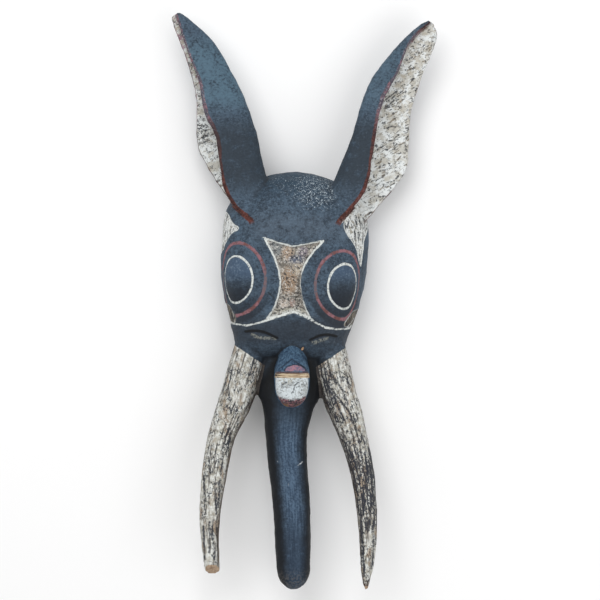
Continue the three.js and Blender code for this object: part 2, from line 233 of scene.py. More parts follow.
def tusk_shape(root_share, length, aside, girth):
    """A tusk, as thick as it is wide, that leaves the cheek and curves down and a little forward."""
    def half(share):
        return girth(share) * TUSK_WIDTH / 2

    root = (root_share * HEAD_HALF, -0.291 * HEAD_HEIGHT, 0.44 * HEAD_DEPTH)
    return limb_shape(root, length, aside, TUSK_FORWARD, half, half, TUSK_SQUARENESS)


TRUNK_GIRTH = curve_through([
    [0, 1.6], [0.2, 1.6], [0.235, 1.4], [0.29, 1.22], [0.36, 1.09], [0.51, 1.005], [0.67, 0.97], [0.84, 0.91],
    [0.915, 0.86], [1, 0.82],
])
TRUNK_DEPTH = curve_through([[0, 1.1], [0.25, 1.15], [0.6, 1], [1, 0.85]])
TRUNK = limb_shape(
    (-0.02 * HEAD_HALF, -0.34 * HEAD_HEIGHT, 0.34 * HEAD_DEPTH), TRUNK_LENGTH,
    curve_through([[0, 0], [0.2, -0.012], [0.36, -0.021], [0.52, -0.012], [0.67, 0.001], [0.84, 0.006],
                   [1, 0.01]]),
    curve_through([[0, 0], [0.2, 0.045], [0.4, 0.06], [1, 0.135]]),
    lambda share: TRUNK_GIRTH(share) * TRUNK_WIDTH / 2,
    lambda share: TRUNK_DEPTH(share) * TRUNK_THICKNESS / 2,
    TRUNK_SQUARENESS)

TUSK_FORWARD = curve_through([[0, 0], [0.4, 0.03], [1, 0.13]])
LEFT_GIRTH = curve_through([
    [0, 0.95], [0.244, 0.95], [0.41, 0.76], [0.575, 0.68], [0.74, 0.59], [0.905, 0.46], [1, 0.40],
])
LEFT_TUSK = tusk_shape(
    -0.527, LEFT_TUSK_LENGTH,
    curve_through([[0, 0], [0.244, -0.072], [0.41, -0.138], [0.575, -0.17], [0.79, -0.19], [1, -0.178]]),
    LEFT_GIRTH)

RIGHT_GIRTH = curve_through([
    [0, 0.9], [0.16, 0.95], [0.3, 0.9], [0.38, 0.78], [0.533, 0.65], [0.685, 0.56], [0.84, 0.43], [1, 0.3],
])
RIGHT_TUSK = tusk_shape(
    0.455, RIGHT_TUSK_LENGTH,
    curve_through([[0, 0], [0.08, 0.02], [0.23, 0.053], [0.304, 0.08], [0.533, 0.143], [0.763, 0.165],
                   [1, 0.157]]),
    RIGHT_GIRTH)


# The plane of the left tusk's break: a point on it and the way square to it, up the tusk
BREAK_POINT = LEFT_TUSK["path"](1.0) + np.array([0, BREAK_RISE, 0])
BREAK_WAY = np.array([0, math.cos(BREAK_SLOPE), -math.sin(BREAK_SLOPE)])


def limb_axes(limb, share):
    """Unit vectors along the limb's path, across it and out of its front, at each share of its length."""
    ahead = limb["path"](np.minimum(share + 0.002, 1)) - limb["path"](np.maximum(share - 0.002, 0))
    ahead /= np.linalg.norm(ahead, axis=-1, keepdims=True)
    side = np.stack([-ahead[:, 1], ahead[:, 0], 0 * share], -1)
    side /= np.linalg.norm(side, axis=-1, keepdims=True)
    return ahead, side, np.cross(side, ahead)


def limb_rings(limb, rounding, steps, sides):
    """Squared ovals set square to the limb's path, the last stretch closing like a quarter circle."""
    shares = np.linspace(0, 1 - rounding, steps)
    closing = np.ones(steps)
    if rounding:
        angle = np.linspace(0, math.radians(86), 14)[1:]
        shares = np.concatenate([shares, 1 - rounding + rounding * np.sin(angle)])
        closing = np.concatenate([closing, np.cos(angle)])
    _, side, front = limb_axes(limb, shares)
    across, along = squared_oval((np.arange(sides) + 0.5) * 2 * math.pi / sides, limb["squareness"])
    width = (limb["half_width"](shares) * closing)[:, None, None] * across[None, :, None]
    depth = (limb["half_depth"](shares) * closing)[:, None, None] * along[None, :, None]
    return limb["path"](shares)[:, None] + width * side[:, None] + depth * front[:, None]


def ear_shape(side, lean, root, fold, front, back):
    """An ear's own axes and the curves of its fold and two rims, as shares of its length."""
    lean = math.radians(lean)
    return {
        "out": np.array([side * math.cos(lean), -math.sin(lean), 0]),
        "up": np.array([side * math.sin(lean), math.cos(lean), 0]),
        "root": np.array([root[0] * HEAD_HALF, root[1] * HEAD_HEIGHT, 0]),
        "fold": curve_through(fold), "front": curve_through(front), "back": curve_through(back),
    }


LEFT_EAR = ear_shape(
    -1, 20.7, (-0.655, 0.411),
    [[-0.1, -0.13], [0.1, -0.148], [0.3, -0.175], [0.45, -0.182], [0.6, -0.172], [0.8, -0.137], [0.9, -0.092],
     [0.98, -0.045], [1, -0.025]],
    [[-0.1, 0.009], [0, 0.06], [0.1, 0.075], [0.2, 0.055], [0.35, 0.023], [0.5, 0.03], [0.65, 0.002],
     [0.85, 0],
     [1, -0.008]],
    [[-0.1, 0.02], [0.1, 0.086], [0.32, 0.122], [0.45, 0.09], [0.55, 0.05], [0.7, 0.025], [0.98, 0.02],
     [1, 0.008]])
RIGHT_EAR = ear_shape(
    1, 26, (0.682, 0.411),
    [[-0.1, -0.09], [0.1, -0.088], [0.3, -0.103], [0.55, -0.142], [0.7, -0.128], [0.87, -0.081],
     [0.96, -0.045],
     [1, -0.015]],
    [[-0.1, 0.03], [0, 0.06], [0.1, 0.075], [0.25, 0.038], [0.4, -0.008], [0.55, -0.042], [0.7, -0.036],
     [0.87, -0.046], [1, 0]],
    [[-0.1, 0.13], [0.04, 0.165], [0.2, 0.205], [0.28, 0.215], [0.4, 0.172], [0.55, 0.11], [0.75, 0.079],
     [0.9, 0.068], [0.97, 0.045], [1, 0.012]])
EAR_LIFT = curve_through([[-0.1, 0.9], [0, 0.84], [0.15, 0.77], [0.5, 0.68], [1, 0.6]])


def ear_section(ear, share):
    """Sizes of the ear's half-oval section: rim places, middle, slant, bend, half depth and middle height."""
    front = ear["front"](share) * EAR_LENGTH
    back = ear["back"](share) * EAR_LENGTH
    along = np.clip(share, 0, 1)
    half = EAR_RIM_DEPTH / 2 * (1 - 0.55 * along ** 1.5) * np.sqrt(1 - 0.85 * along ** 12)
    middle = (front + back) / 2
    slant = (front - back) / 2
    reach = middle - ear["fold"](share) * EAR_LENGTH
    bend = np.sqrt(np.maximum(reach ** 2 - slant ** 2, 4))
    wall = np.minimum(EAR_WALL, np.minimum(bend * 0.6, half * 0.8))
    height = EAR_LIFT(share) * HEAD_DEPTH - half
    return {"front": front, "back": back, "middle": middle, "slant": slant, "bend": bend, "half": half,
            "wall": wall, "height": height}


def ear_rings(ear, steps, sides):
    """Half ovals open outwards: the outer wall from back rim to front rim, then the inner wall back again."""
    shares = EAR_START + (1 - EAR_START) * np.sin(np.linspace(0, math.pi / 2, steps)) ** 0.85
    section = {name: value[:, None] for name, value in ear_section(ear, shares).items()}
    angle = np.linspace(-math.pi / 2, math.pi / 2, sides)[None, :]

    def wall_at(angle, inset):
        across = section["middle"] + section["slant"] * np.sin(angle)
        across = across - (section["bend"] - inset) * np.cos(angle)
        depth = section["height"] + (section["half"] - inset) * np.sin(angle)
        flat = ear["root"] + shares[:, None, None] * EAR_LENGTH * ear["up"] + across[..., None] * ear["out"]
        flat[..., 2] = depth
        return flat

    return np.concatenate([wall_at(angle, 0), wall_at(angle[:, ::-1], section["wall"])], 1)


MUZZLE_RISE = curve_through([[0, 1.2], [0.45, 1], [0.75, 0.62], [0.93, 0.42], [1, 0.25]])
MUZZLE_DROP = curve_through([[0, 0.9], [0.3, 1], [0.8, 1], [0.93, 0.94], [1, 0.72]])
MUZZLE_NARROWING = curve_through([[0, 1], [0.85, 1], [0.95, 0.95], [1, 0.8]])


def muzzle_section(share, above):
    """Half height and squareness of the muzzle: a pointed arch above the lips, a squared half oval below."""
    height = np.where(above, UPPER_LIP * MUZZLE_RISE(share), LOWER_LIP * MUZZLE_DROP(share))
    return height, np.where(above, 1.8, 2.4)


def muzzle_rings():
    """Rings of the muzzle at rising depth."""
    share = np.linspace(0, 1, 60)[:, None]
    sides = 96
    angle = ((np.arange(sides) + 0.5) * 2 * math.pi / sides)[None, :]
    height, squareness = muzzle_section(share, angle < math.pi)
    across, along = squared_oval(angle, squareness)
    x = MUZZLE_X + across * MUZZLE_NARROWING(share) * MUZZLE_WIDTH / 2
    y = LIPS_Y + along * height
    z = MUZZLE_ROOT + (MUZZLE_REACH - MUZZLE_ROOT) * share + 0 * x
    return np.stack([x, y, z], -1)


def slit_line(t, side, inner, width):
    """Middle line of an eye slit: a low arch rising towards its outer end."""
    x = side * (inner * HEAD_HALF + width * t)
    y = -0.291 * HEAD_HEIGHT + SLIT_ARCH * np.sin(math.pi * t) + 0.024 * HEAD_HEIGHT * t
    return x, y


SLITS = [(1, 0.31, 38.0), (-1, 0.145, 48.0)]


def slit_rings(side, inner, width):
    """Upright slot over the slit's outline, narrowing to both ends."""
    t = np.linspace(0, 1, 40)
    x, y = slit_line(t, side, inner, width)
    taper = SLIT_HEIGHT / 2 * np.sin(math.pi * (0.12 + 0.76 * t))
    outline = np.concatenate([np.stack([x, y + taper], -1), np.stack([x, y - taper], -1)[::-1]])
    depths = np.array([0.35, 1.2]) * HEAD_DEPTH
    flat = np.repeat(outline[None], 2, 0)
    return lean_head(np.concatenate([flat, np.repeat(depths[:, None], len(outline), 1)[..., None]], -1))


def box_rings(middle, size, tilt):
    """A box as two rings of four corners, turned about x by the tilt."""
    corners = np.array([[1, 1], [-1, 1], [-1, -1], [1, -1]]) / 2
    rings = np.stack([np.concatenate([corners * size[:2], np.full((4, 1), end * size[2] / 2)],
                                     1) for end in (-1, 1)])
    y, z = rings[..., 1].copy(), rings[..., 2].copy()
    rings[..., 1] = y * math.cos(tilt) - z * math.sin(tilt)
    rings[..., 2] = y * math.sin(tilt) + z * math.cos(tilt)
    return rings + np.array(middle, float)


def block_object(name, rings):
    vertices, quads = skin(rings)
    mesh = bpy.data.meshes.new(name)
    mesh.from_pydata(vertices.tolist(), [], quads.tolist())
    piece = bpy.data.objects.new(name, mesh)
    bpy.context.scene.collection.objects.link(piece)
    return piece


def carve():
    """Join the head with all that grows out of it, cut the hollows, and turn the skin to even squares."""
    head = block_object("elephant_mask", head_rings(0, 0, 110, 150))
    joined = [
        block_object("left_ear", ear_rings(LEFT_EAR, 130, 44)),
        block_object("right_ear", ear_rings(RIGHT_EAR, 130, 44)),
        block_object("trunk", limb_rings(TRUNK, 0.08, 120, 88)),
        block_object("left_tusk", limb_rings(LEFT_TUSK, 0, 130, 72)),
        block_object("right_tusk", limb_rings(RIGHT_TUSK, 0.14, 120, 72)),
        block_object("muzzle", muzzle_rings()),
    ]
    below_break = BREAK_POINT - BREAK_WAY * TUSK_WIDTH / 2
    cut = [
        block_object("hollow", head_rings(FACE_WALL, -HEAD_DEPTH, 90, 110)),
        block_object("mouth", box_rings((MUZZLE_X, LIPS_Y, MUZZLE_REACH),
                                        (MUZZLE_WIDTH * 1.2, MOUTH_GAP, MOUTH_DEPTH * 2), 0)),
        block_object("tusk_break", box_rings(below_break, (TUSK_WIDTH,) * 3, -BREAK_SLOPE)),
    ] + [block_object("slit", slit_rings(*slit)) for slit in SLITS]
    for operation, others in (("UNION", joined), ("DIFFERENCE", cut)):
        for other in others:
            step = head.modifiers.new(other.name, "BOOLEAN")
            step.operation = operation
            step.solver = "MANIFOLD"
            step.object = other
    squares = head.modifiers.new("squares", "REMESH")
    squares.mode = "VOXEL"
    squares.voxel_size = SKIN_SQUARE
    bpy.context.view_layer.update()
    evaluated = head.evaluated_get(bpy.context.evaluated_depsgraph_get())
    mesh = bpy.data.meshes.new_from_object(evaluated)
    head.modifiers.clear()
    head.data = mesh
    for other in joined + cut:
        bpy.data.objects.remove(other)
    return head


def numbers_of(items, name, width, kind=np.float32):
    """One named value of a mesh's vertices, normals or edges, as rows of so many numbers."""
    flat = np.empty(len(items) * width, kind)
    items.foreach_get(name, flat)
    return flat.reshape(-1, width)


def normals_of(mesh):
    return numbers_of(mesh.vertex_normals, "vector", 3).astype(float)


def smoothed(points, edges, times):
    """Each point replaced by the mean of itself and its neighbours, so many times over."""
    count = len(points)
    near = np.bincount(edges.ravel(), minlength=count) + 1.0
    columns = []
    for values in points.T:
        for _ in range(times):
            total = np.bincount(edges[:, 0], values[edges[:, 1]], count)
            total += np.bincount(edges[:, 1], values[edges[:, 0]], count)
            values = (values + total) / near
        columns.append(values)
    return np.stack(columns, 1)


def bulge_of(points, normals, edges, times):
    """How far each point stands out of its smoothed surroundings, in millimetres; hollows are negative."""
    return ((points - smoothed(points, edges, times)) * normals).sum(1)


def cloud(points, size, seed):
    """Smooth random field between -1 and 1: random values on a cubic lattice, blended by smooth steps."""
    table = np.random.default_rng(seed).random((32, 32, 32)) * 2 - 1
    place = points / size
    cell = np.floor(place).astype(int)
    t = place - cell
    t = t * t * (3 - 2 * t)
    total = np.zeros(len(points))
    for corner in np.ndindex(2, 2, 2):
        index = (cell + corner) & 31
        weight = np.prod(np.where(corner, t, 1 - t), axis=1)
        total += weight * table[index[:, 0], index[:, 1], index[:, 2]]
    return total


def scallops(points, size, seed):
    """Shallow bowls with ridges between them: the squared distance to the nearest of scattered middles."""
    table = np.random.default_rng(seed).random((16, 16, 16, 3))
    cell = np.floor(points / size).astype(int)
    nearest = np.full(len(points), np.inf)
    for step in np.ndindex(3, 3, 3):
        near = cell + np.array(step) - 1
        index = near & 15
        middle = (near + table[index[:, 0], index[:, 1], index[:, 2]]) * size
        nearest = np.minimum(nearest, ((points - middle) ** 2).sum(1))
    return nearest / size ** 2


def photo_points(pixels):
    """Places measured on the photograph, in its pixels, as millimetres on the face."""
    return (np.array(pixels, float) - FACE_MIDDLE_PIXEL) * (PIXEL, -PIXEL)


def in_frame(pixel):
    """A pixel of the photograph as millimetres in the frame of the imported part."""
    x, y = photo_points([pixel])[0] - OUTLINE_MIDDLE
    return float(x), float(y)


def height_of(row):
    """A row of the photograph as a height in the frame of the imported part, in millimetres."""
    return in_frame((0, row))[1]


def head_sizes(own_y):
    """Half-width, front reach beyond the widest depth and squareness of the head at a height of its own."""
    share = own_y / HEAD_HEIGHT
    low = np.clip(share, CHIN_SHARE, CROWN_START)
    lift = np.clip((share - CROWN_START) / (CROWN_SHARE - CROWN_START), 0, 0.995)
    fade = np.sqrt(1 - lift ** 2)
    half = half_width_at(low) * HEAD_HALF * fade
    reach = (front_at(low) - WIDEST_DEPTH) * HEAD_DEPTH * fade
    return half, reach, squareness_at(np.clip(share, CHIN_SHARE, CROWN_SHARE))


def head_distance(own):
    """Distance out of the head's skin, measured along the ray from the middle of its own level."""
    half, reach, squareness = head_sizes(own[:, 1])
    x = np.abs(own[:, 0])
    z = np.maximum(own[:, 2] - WIDEST_DEPTH * HEAD_DEPTH, 0)
    level = squared_distance(x, z, half, reach, squareness)
    below = CHIN_SHARE * HEAD_HEIGHT - own[:, 1]
    above = own[:, 1] - CROWN_SHARE * HEAD_HEIGHT
    return np.maximum(level, np.maximum(below, above))


def squared_distance(first, second, half_first, half_second, squareness):
    """Distance out of a squared oval, measured along the ray from its middle."""
    size = (np.abs(first / half_first) ** squareness
            + np.abs(second / half_second) ** squareness) ** (1 / squareness)
    return np.hypot(first, second) * (1 - 1 / np.maximum(size, 0.01))


def limb_place(limb, points):
    """Share along the limb, place across and through it, and distance from it."""
    share = np.clip((limb["root"][1] - points[:, 1]) / limb["length"], 0, 1)
    for _ in range(2):
        ahead, side, front = limb_axes(limb, share)
        share = np.clip(share + ((points - limb["path"](share)) * ahead).sum(1) / limb["length"], 0, 1)
    away = points - limb["path"](share)
    across = (away * side).sum(1)
    through = (away * front).sum(1)
    half_width = limb["half_width"](share)
    distance = squared_distance(across, through, half_width, limb["half_depth"](share), limb["squareness"])
    distance = np.maximum(distance, (away * ahead).sum(1) - 3)
    return {"share": share, "across": across, "through": through, "distance": distance,
            "edge": across / half_width}


def muzzle_distance(points):
    share = np.clip((points[:, 2] - MUZZLE_ROOT) / (MUZZLE_REACH - MUZZLE_ROOT), 0, 1)
    up = points[:, 1] - LIPS_Y
    height, squareness = muzzle_section(share, up > 0)
    return squared_distance(points[:, 0] - MUZZLE_X, up, MUZZLE_WIDTH / 2, height, squareness)


def ear_place(ear, points):
    """Place along the ear, depth inside its channel, distance out of its shell and from its two rims."""
    away = points - ear["root"]
    share = (away * ear["up"]).sum(1) / EAR_LENGTH
    out = (away * ear["out"]).sum(1)
    section = ear_section(ear, np.clip(share, EAR_START, 1))
    level = points[:, 2] - section["height"]
    turn = np.clip(level / section["half"], -1, 1)
    inner_half = np.maximum(section["half"] - section["wall"], 1)
    inner_turn = np.clip(level / inner_half, -1, 1)
    rim_line = section["middle"] + section["slant"] * turn
    outer = rim_line - section["bend"] * np.sqrt(1 - turn ** 2)
    inner = (section["middle"] + section["slant"] * inner_turn
             - (section["bend"] - section["wall"]) * np.sqrt(1 - inner_turn ** 2))
    inside = np.minimum(out - (outer + inner) / 2, section["half"] - section["wall"] / 2 - np.abs(level))
    distance = squared_distance(out - rim_line, level, section["bend"], section["half"], 2)
    distance = np.maximum(np.maximum(distance, out - rim_line),
                          EAR_LENGTH * np.maximum(share - 1, EAR_START - share))
    return {"share": share, "inside": inside, "distance": distance, "front_rim": section["front"] - out,
            "back_rim": section["back"] - out, "front_side": level, "out": out}


def ring_distance(skin_place, rings):
    """Distance outside the nearer of two oval rings on the skin laid flat, and share of its half-height."""
    out, share = np.full(len(skin_place), np.inf), np.full(len(skin_place), np.inf)
    for across, up, half_width, half_height in rings:
        here = np.hypot((skin_place[:, 0] - across) / half_width, (skin_place[:, 1] - up) / half_height)
        out = np.minimum(out, (here - 1) * half_height)
        share = np.minimum(share, here)
    return out, share


def unrolled(own):
    """The head's skin laid flat: distance round it from the middle line, and height."""
    half, reach, _ = head_sizes(own[:, 1])
    depth = own[:, 2] - WIDEST_DEPTH * HEAD_DEPTH
    angle = np.arctan2(np.abs(own[:, 0]) / half, np.maximum(depth, 0) / reach)
    around = (half + reach) / 2 * angle + np.maximum(-depth, 0)
    return np.stack([np.sign(own[:, 0]) * around, own[:, 1]], 1)


def on_face(flat):
    """Where points measured from the front lie on the unrolled skin; past the outline they go on round it."""
    depth = np.full(len(flat), 0.9 * HEAD_DEPTH)
    for _ in range(6):
        own = straighten_head(np.column_stack([flat, depth]))
        half, reach, squareness = head_sizes(own[:, 1])
        share = np.minimum(np.abs(own[:, 0]) / half, 1)
        depth = WIDEST_DEPTH * HEAD_DEPTH + reach * (1 - share ** squareness) ** (1 / squareness)
    past = np.maximum(np.abs(own[:, 0]) - half, 0)
    skin_point = np.column_stack([np.clip(own[:, 0], -half, half), own[:, 1], depth])
    place = unrolled(skin_point)
    place[:, 0] += np.sign(place[:, 0]) * past
    return place


def line_distance(places, line):
    """Distance from each place to a broken line, in two dimensions."""
    nearest = np.full(len(places), np.inf)
    for start, end in zip(line[:-1], line[1:]):
        along = end - start
        t = np.clip(((places - start) @ along) / (along @ along), 0, 1)
        nearest = np.minimum(nearest, np.linalg.norm(places - start - t[:, None] * along, axis=1))
    return nearest


def nearest_line(places, lines, laid):
    """Distance to the nearest of several lines measured on the photograph and laid on a surface."""
    return np.min([line_distance(places, laid(photo_points(line))) for line in lines], 0)


def outline_distance(places, outline):
    """Signed distance from a closed outline, negative inside it."""
    closed = np.vstack([outline, outline[:1]])
    inside = np.zeros(len(places), bool)
    for start, end in zip(closed[:-1], closed[1:]):
        crosses = (start[1] > places[:, 1]) != (end[1] > places[:, 1])
        rise = np.where(end[1] == start[1], 1, end[1] - start[1])
        inside ^= crosses & (places[:, 0] < start[0] + (places[:, 1] - start[1]) / rise * (end[0] - start[0]))
    return np.where(inside, -1, 1) * line_distance(places, closed)


def rounded(pixels, times=2):
    """A measured outline with its corners cut twice, the ends of each stretch moved in by a quarter."""
    line = photo_points(pixels)
    for _ in range(times):
        ahead = np.roll(line, -1, 0)
        line = np.stack([line * 0.75 + ahead * 0.25, line * 0.25 + ahead * 0.75], 1).reshape(-1, 2)
    return line


# The sunken bridge of the nose, as an outline in pixels of the photograph, like all places below
BRIDGE = [
    (263.5, 237.7), (270, 248.6), (275, 259), (278.6, 270.5), (280.5, 281.4), (279.8, 289), (278, 297),
    (274.5, 307), (271, 313), (266.5, 319), (273, 318.3), (285.3, 314.4), (293.8, 312), (304.7, 316),
    (314, 321), (309.5, 316), (306.6, 310.5), (302.9, 299.5), (300.5, 285), (301.7, 274), (304.5, 266),
    (308.3, 259.5), (314, 251.5), (320.5, 245), (324.5, 240.6), (309.5, 243.8), (292.6, 246.8),
    (276.8, 242.6),
]
# The sunken temples, right and left, and the low cheeks, left and right
PATCHES = [
    [(343, 225.5), (346, 219), (353, 209), (362, 200), (370, 192), (386, 192), (384, 215), (370.5, 224),
     (364.5, 238), (362.8, 250), (361, 271), (357.5, 253), (353, 242), (347, 235.5)],
    [(228, 213), (232, 223.5), (241, 229), (231.5, 233), (226.5, 241), (222.5, 252), (214, 258),
     (206, 240), (208, 215), (222, 208)],
    [(228.5, 303), (232.5, 311), (236.5, 319), (234, 324), (229, 323), (214, 320), (214, 303)],
    [(354.5, 309), (349, 317), (342, 326), (350.8, 328), (358, 327), (366, 322), (368, 309)],
]
# White lines under the eyes and over the bridge
LOWER_LINE = [
    (228, 321), (234.4, 323.8), (246.5, 325.6), (259.8, 322.6), (273, 318.3), (285.3, 314.7), (293.8, 312.3),
    (304.7, 316.5), (315.6, 322.6), (325.3, 327.4), (336.2, 329.2), (350.8, 328), (357, 326),
]
BROW_LINE = [(263.5, 237.7), (276.8, 242.6), (292.6, 246.8), (309.5, 243.8), (324, 240.8), (331, 240)]
# Cracks in the bridge and beside the right eye
CRACKS = [
    [(276, 311.5), (285, 309.5), (291.5, 307.5)], [(289.5, 297.2), (298.5, 297)],
    [(295.2, 297), (296.5, 303.5)], [(316, 277), (321, 286), (328, 295)], [(268, 292), (276, 300)],
]
# The two folds over the mouth that meet in a point
CREASES = [[(291.3, 350), (291.5, 358.5), (278, 368.5)], [(291.5, 358.5), (305, 366.5)]]
# Rubbed paint under the eye slits
RUBBED = [[(252, 334.5), (258, 337), (266, 338.3), (275.5, 338.7)], [(313, 343), (320, 340.5), (328, 338.3)]]
# Pale strokes on the low cheeks
RAYS = [[(353.5, 310), (347, 321), (338, 329)], [(356.5, 318), (346, 328.5)], [(230.5, 307), (233.5, 322)]]
# Where the blue-black of each cheek ends on its tusk: a point of the line, and the way down square to it
CHEEK_ENDS = [((237.2, 346.6), (-0.555, -0.831)), ((344.8, 348.2), (0.547, -0.837))]
# Dark scratches inside the ears and on the white lip
SCRATCHES = [
    [(383, 129), (391, 126.5), (399, 127), (407, 128)], [(377, 105.5), (384, 101), (391, 95)],
    [(384, 108.5), (396, 99)], [(376, 146.5), (388, 150)], [(383, 143), (390, 140.5), (398, 139.5)],
    [(379, 171.5), (391, 168)], [(383, 184), (394, 181), (400, 174)], [(377, 197), (387, 196)],
    [(404, 141), (405.5, 147), (407.5, 151)], [(384, 63), (393, 56)], [(201, 153), (208, 160)],
    [(388, 101), (396, 95), (403, 91)], [(390, 97), (399, 89)], [(399, 50), (405, 46)],
    [(203, 165), (212, 174)], [(297.4, 381.6), (299.4, 381.2)], [(295.6, 383.4), (296.4, 384)],
    [(291.4, 384.2), (292.6, 384.4)], [(294.8, 386), (293.8, 388.6), (295, 390)],
    [(281, 384.5), (287, 381.5)],
]
# A nick beside the muzzle, down to the wood
NICKS = [[(302.2, 349.6), (303, 347.8)]]
# Long splits in the tusks, right and left
SPLITS = [
    [(321, 375), (330, 387.5), (340, 400), (350, 413), (356, 428)], [(330, 372), (342.5, 390), (348, 403)],
    [(324, 368), (336, 383)], [(326, 384), (336, 402), (344, 420)],
    [(352, 436), (357, 450), (361, 466), (366, 478), (368, 495)],
    [(343, 440), (350.5, 460), (354, 480), (358, 502)], [(369, 447), (373, 475), (375, 500)],
    [(361, 520), (362, 550), (365, 575)], [(372, 525), (373.5, 547), (372, 567)], [(366, 506), (368, 530)],
    [(228, 388), (230, 401)], [(262, 371), (258, 389), (250, 408)], [(209, 458), (210.5, 473)],
    [(223.5, 452), (221.5, 472)], [(204, 475), (205.5, 513)], [(215.5, 486), (217, 513)],
    [(220.5, 480), (219, 506)], [(203.5, 525), (205, 558)], [(210, 521), (210, 551)],
    [(213.5, 530), (215, 558)], [(218, 527), (219, 546)],
]
# Pale scuffs on the trunk
SCUFFS = [
    [(298.2, 464.8), (302.6, 461.2)], [(287.4, 475), (287.8, 480.5)], [(288.4, 483), (289.6, 487)],
    [(277, 457), (277.3, 461.5)], [(284, 492), (284.2, 494)],
]

# Patches of colour on the bridge: pixel of the middle, reach in pixels, colour
BRIDGE_PATCHES = [
    ((274, 249), (9, 8), (0.18, 0.20, 0.21)),
    ((288, 253), (6, 8), (0.38, 0.28, 0.20)),
    ((289, 281), (9, 14), (0.30, 0.20, 0.125)),
    ((297, 269), (5, 7), (0.44, 0.38, 0.30)),
    ((297, 259.5), (9, 4.5), (0.075, 0.095, 0.145)),
    ((303, 252), (5, 5), (0.22, 0.19, 0.235)),
    ((298.5, 287), (2.2, 11), (0.09, 0.078, 0.065)),
    ((284, 303.5), (4.5, 4), (0.52, 0.44, 0.37)),
    ((292.5, 303), (3, 4), (0.35, 0.25, 0.215)),
    ((291, 311), (20, 3.4), (0.40, 0.39, 0.33)),
]


# Lines by the name of their field: those that run round the head, and those seen straight from the front
HEAD_LINES = {"lower": [LOWER_LINE], "brow": [BROW_LINE], "crack": CRACKS, "rubbed": RUBBED, "ray": RAYS}
FRONT_LINES = {"crease": CREASES, "scratch": SCRATCHES, "nick": NICKS, "scuff": SCUFFS, "split": SPLITS}


def face_fields(points, own):
    """Distances from all that is measured on the photograph: rings, sunken ground, lines and marks."""
    skin_place = unrolled(own)
    eye, eye_share = ring_distance(skin_place, WHITE_RINGS)
    red_eye, _ = ring_distance(skin_place, RED_RINGS)
    bridge = outline_distance(skin_place, on_face(photo_points(BRIDGE)))
    patches = [outline_distance(skin_place, on_face(rounded(patch))) for patch in PATCHES]
    near_rim = np.maximum(8 - own[:, 2], 0)
    field = {"eye": eye, "eye_share": eye_share, "red_eye": red_eye, "bridge": bridge + near_rim,
             "ground": np.min([bridge] + patches, 0) + near_rim}
    for name, lines in HEAD_LINES.items():
        field[name] = nearest_line(skin_place, lines, on_face)
    for name, lines in FRONT_LINES.items():
        field[name] = nearest_line(points[:, :2], lines, np.asarray)
    return field


def slit_fields(own):
    """Distance from the nearer eye slit's middle line, and from the shallow bed under it."""
    nearest = np.full(len(own), np.inf)
    below = np.full(len(own), 50.0)
    for side, inner, width in SLITS:
        across = side * own[:, 0] - inner * HEAD_HALF
        _, height = slit_line(np.clip(across / width, 0, 1), side, inner, width)
        past = np.maximum(np.maximum(-across, across - width), 0)
        rise = own[:, 1] - height
        here = np.hypot(past, rise)
        below = np.where(here < nearest, np.hypot(past * 0.6, rise + SLIT_BED), below)
        nearest = np.minimum(nearest, here)
    return {"slit": nearest, "slit_below": below}


def limb_fields(points, head):
    """Places on trunk, tusks and muzzle, depth inside each one's own paint, and distance above the break."""
    left = points[:, 0] < 0
    trunk, left_tusk, right_tusk = (limb_place(limb, points) for limb in (TRUNK, LEFT_TUSK, RIGHT_TUSK))
    muzzle = np.where(points[:, 2] > MUZZLE_ROOT, muzzle_distance(points), 60)
    others = np.minimum(head, trunk["distance"])
    tusk = np.minimum(left_tusk["distance"], right_tusk["distance"])
    below_cheek = np.where(points[:, 0] < LEFT_END, *[
        (points[:, :2] - photo_points(start)) @ np.array(down) for start, down in CHEEK_ENDS])
    on_tusk = np.minimum(np.minimum(np.minimum(others, muzzle) - tusk + 4, below_cheek), 30)
    break_height = np.where(left & (points[:, 1] < -380), (points - BREAK_POINT) @ BREAK_WAY, 50)
    right_tip = (right_tusk["share"] - 0.985) * RIGHT_TUSK_LENGTH
    return {
        "trunk": trunk, "left_tusk": left_tusk, "right_tusk": right_tusk, "muzzle": muzzle, "tusk": on_tusk,
        "tusk_inner": np.where(left, left_tusk["edge"], -right_tusk["edge"]),
        "trunk_edge": trunk["edge"], "muzzle_on": others - muzzle, "break": break_height,
        "broken": np.minimum(np.where(left, 1.4 - break_height, right_tip), on_tusk),
    }


def ear_fields(points, head):
    """Places on whichever ear is on the point's own side, and depth inside the ears' own paint."""
    left, right = ear_place(LEFT_EAR, points), ear_place(RIGHT_EAR, points)
    field = {"ear_" + name: np.where(points[:, 0] < 0, left[name], right[name]) for name in left}
    field["ear"] = np.minimum(head, 60) - np.minimum(left["distance"], right["distance"])
    return field


def fields_of(points):
    """Everything that the carving and the paint need to know about each point, in millimetres."""
    own = straighten_head(points)
    head = head_distance(own)
    field = {"own": own, "head": head, "hollow": -8 - head}
    for part in (face_fields(points, own), slit_fields(own), limb_fields(points, head),
                 ear_fields(points, head)):
        field.update(part)
    field["grain"] = grain_of(points, field)
    return field


def groove(distance, width, depth):
    """A soft-edged groove along the line that the distance is measured from."""
    return depth * np.exp(-(distance / width) ** 2)


# Grooves of the face by the field that they follow, with the width and depth of each
FACE_GROOVES = {"eye": (1.6, 0.9), "red_eye": (1.9, 0.7), "lower": (1.8, 1.0), "brow": (1.6, 0.5),
                "crack": (1.2, 0.6),
                "slit_below": (3.6, 2.2)}


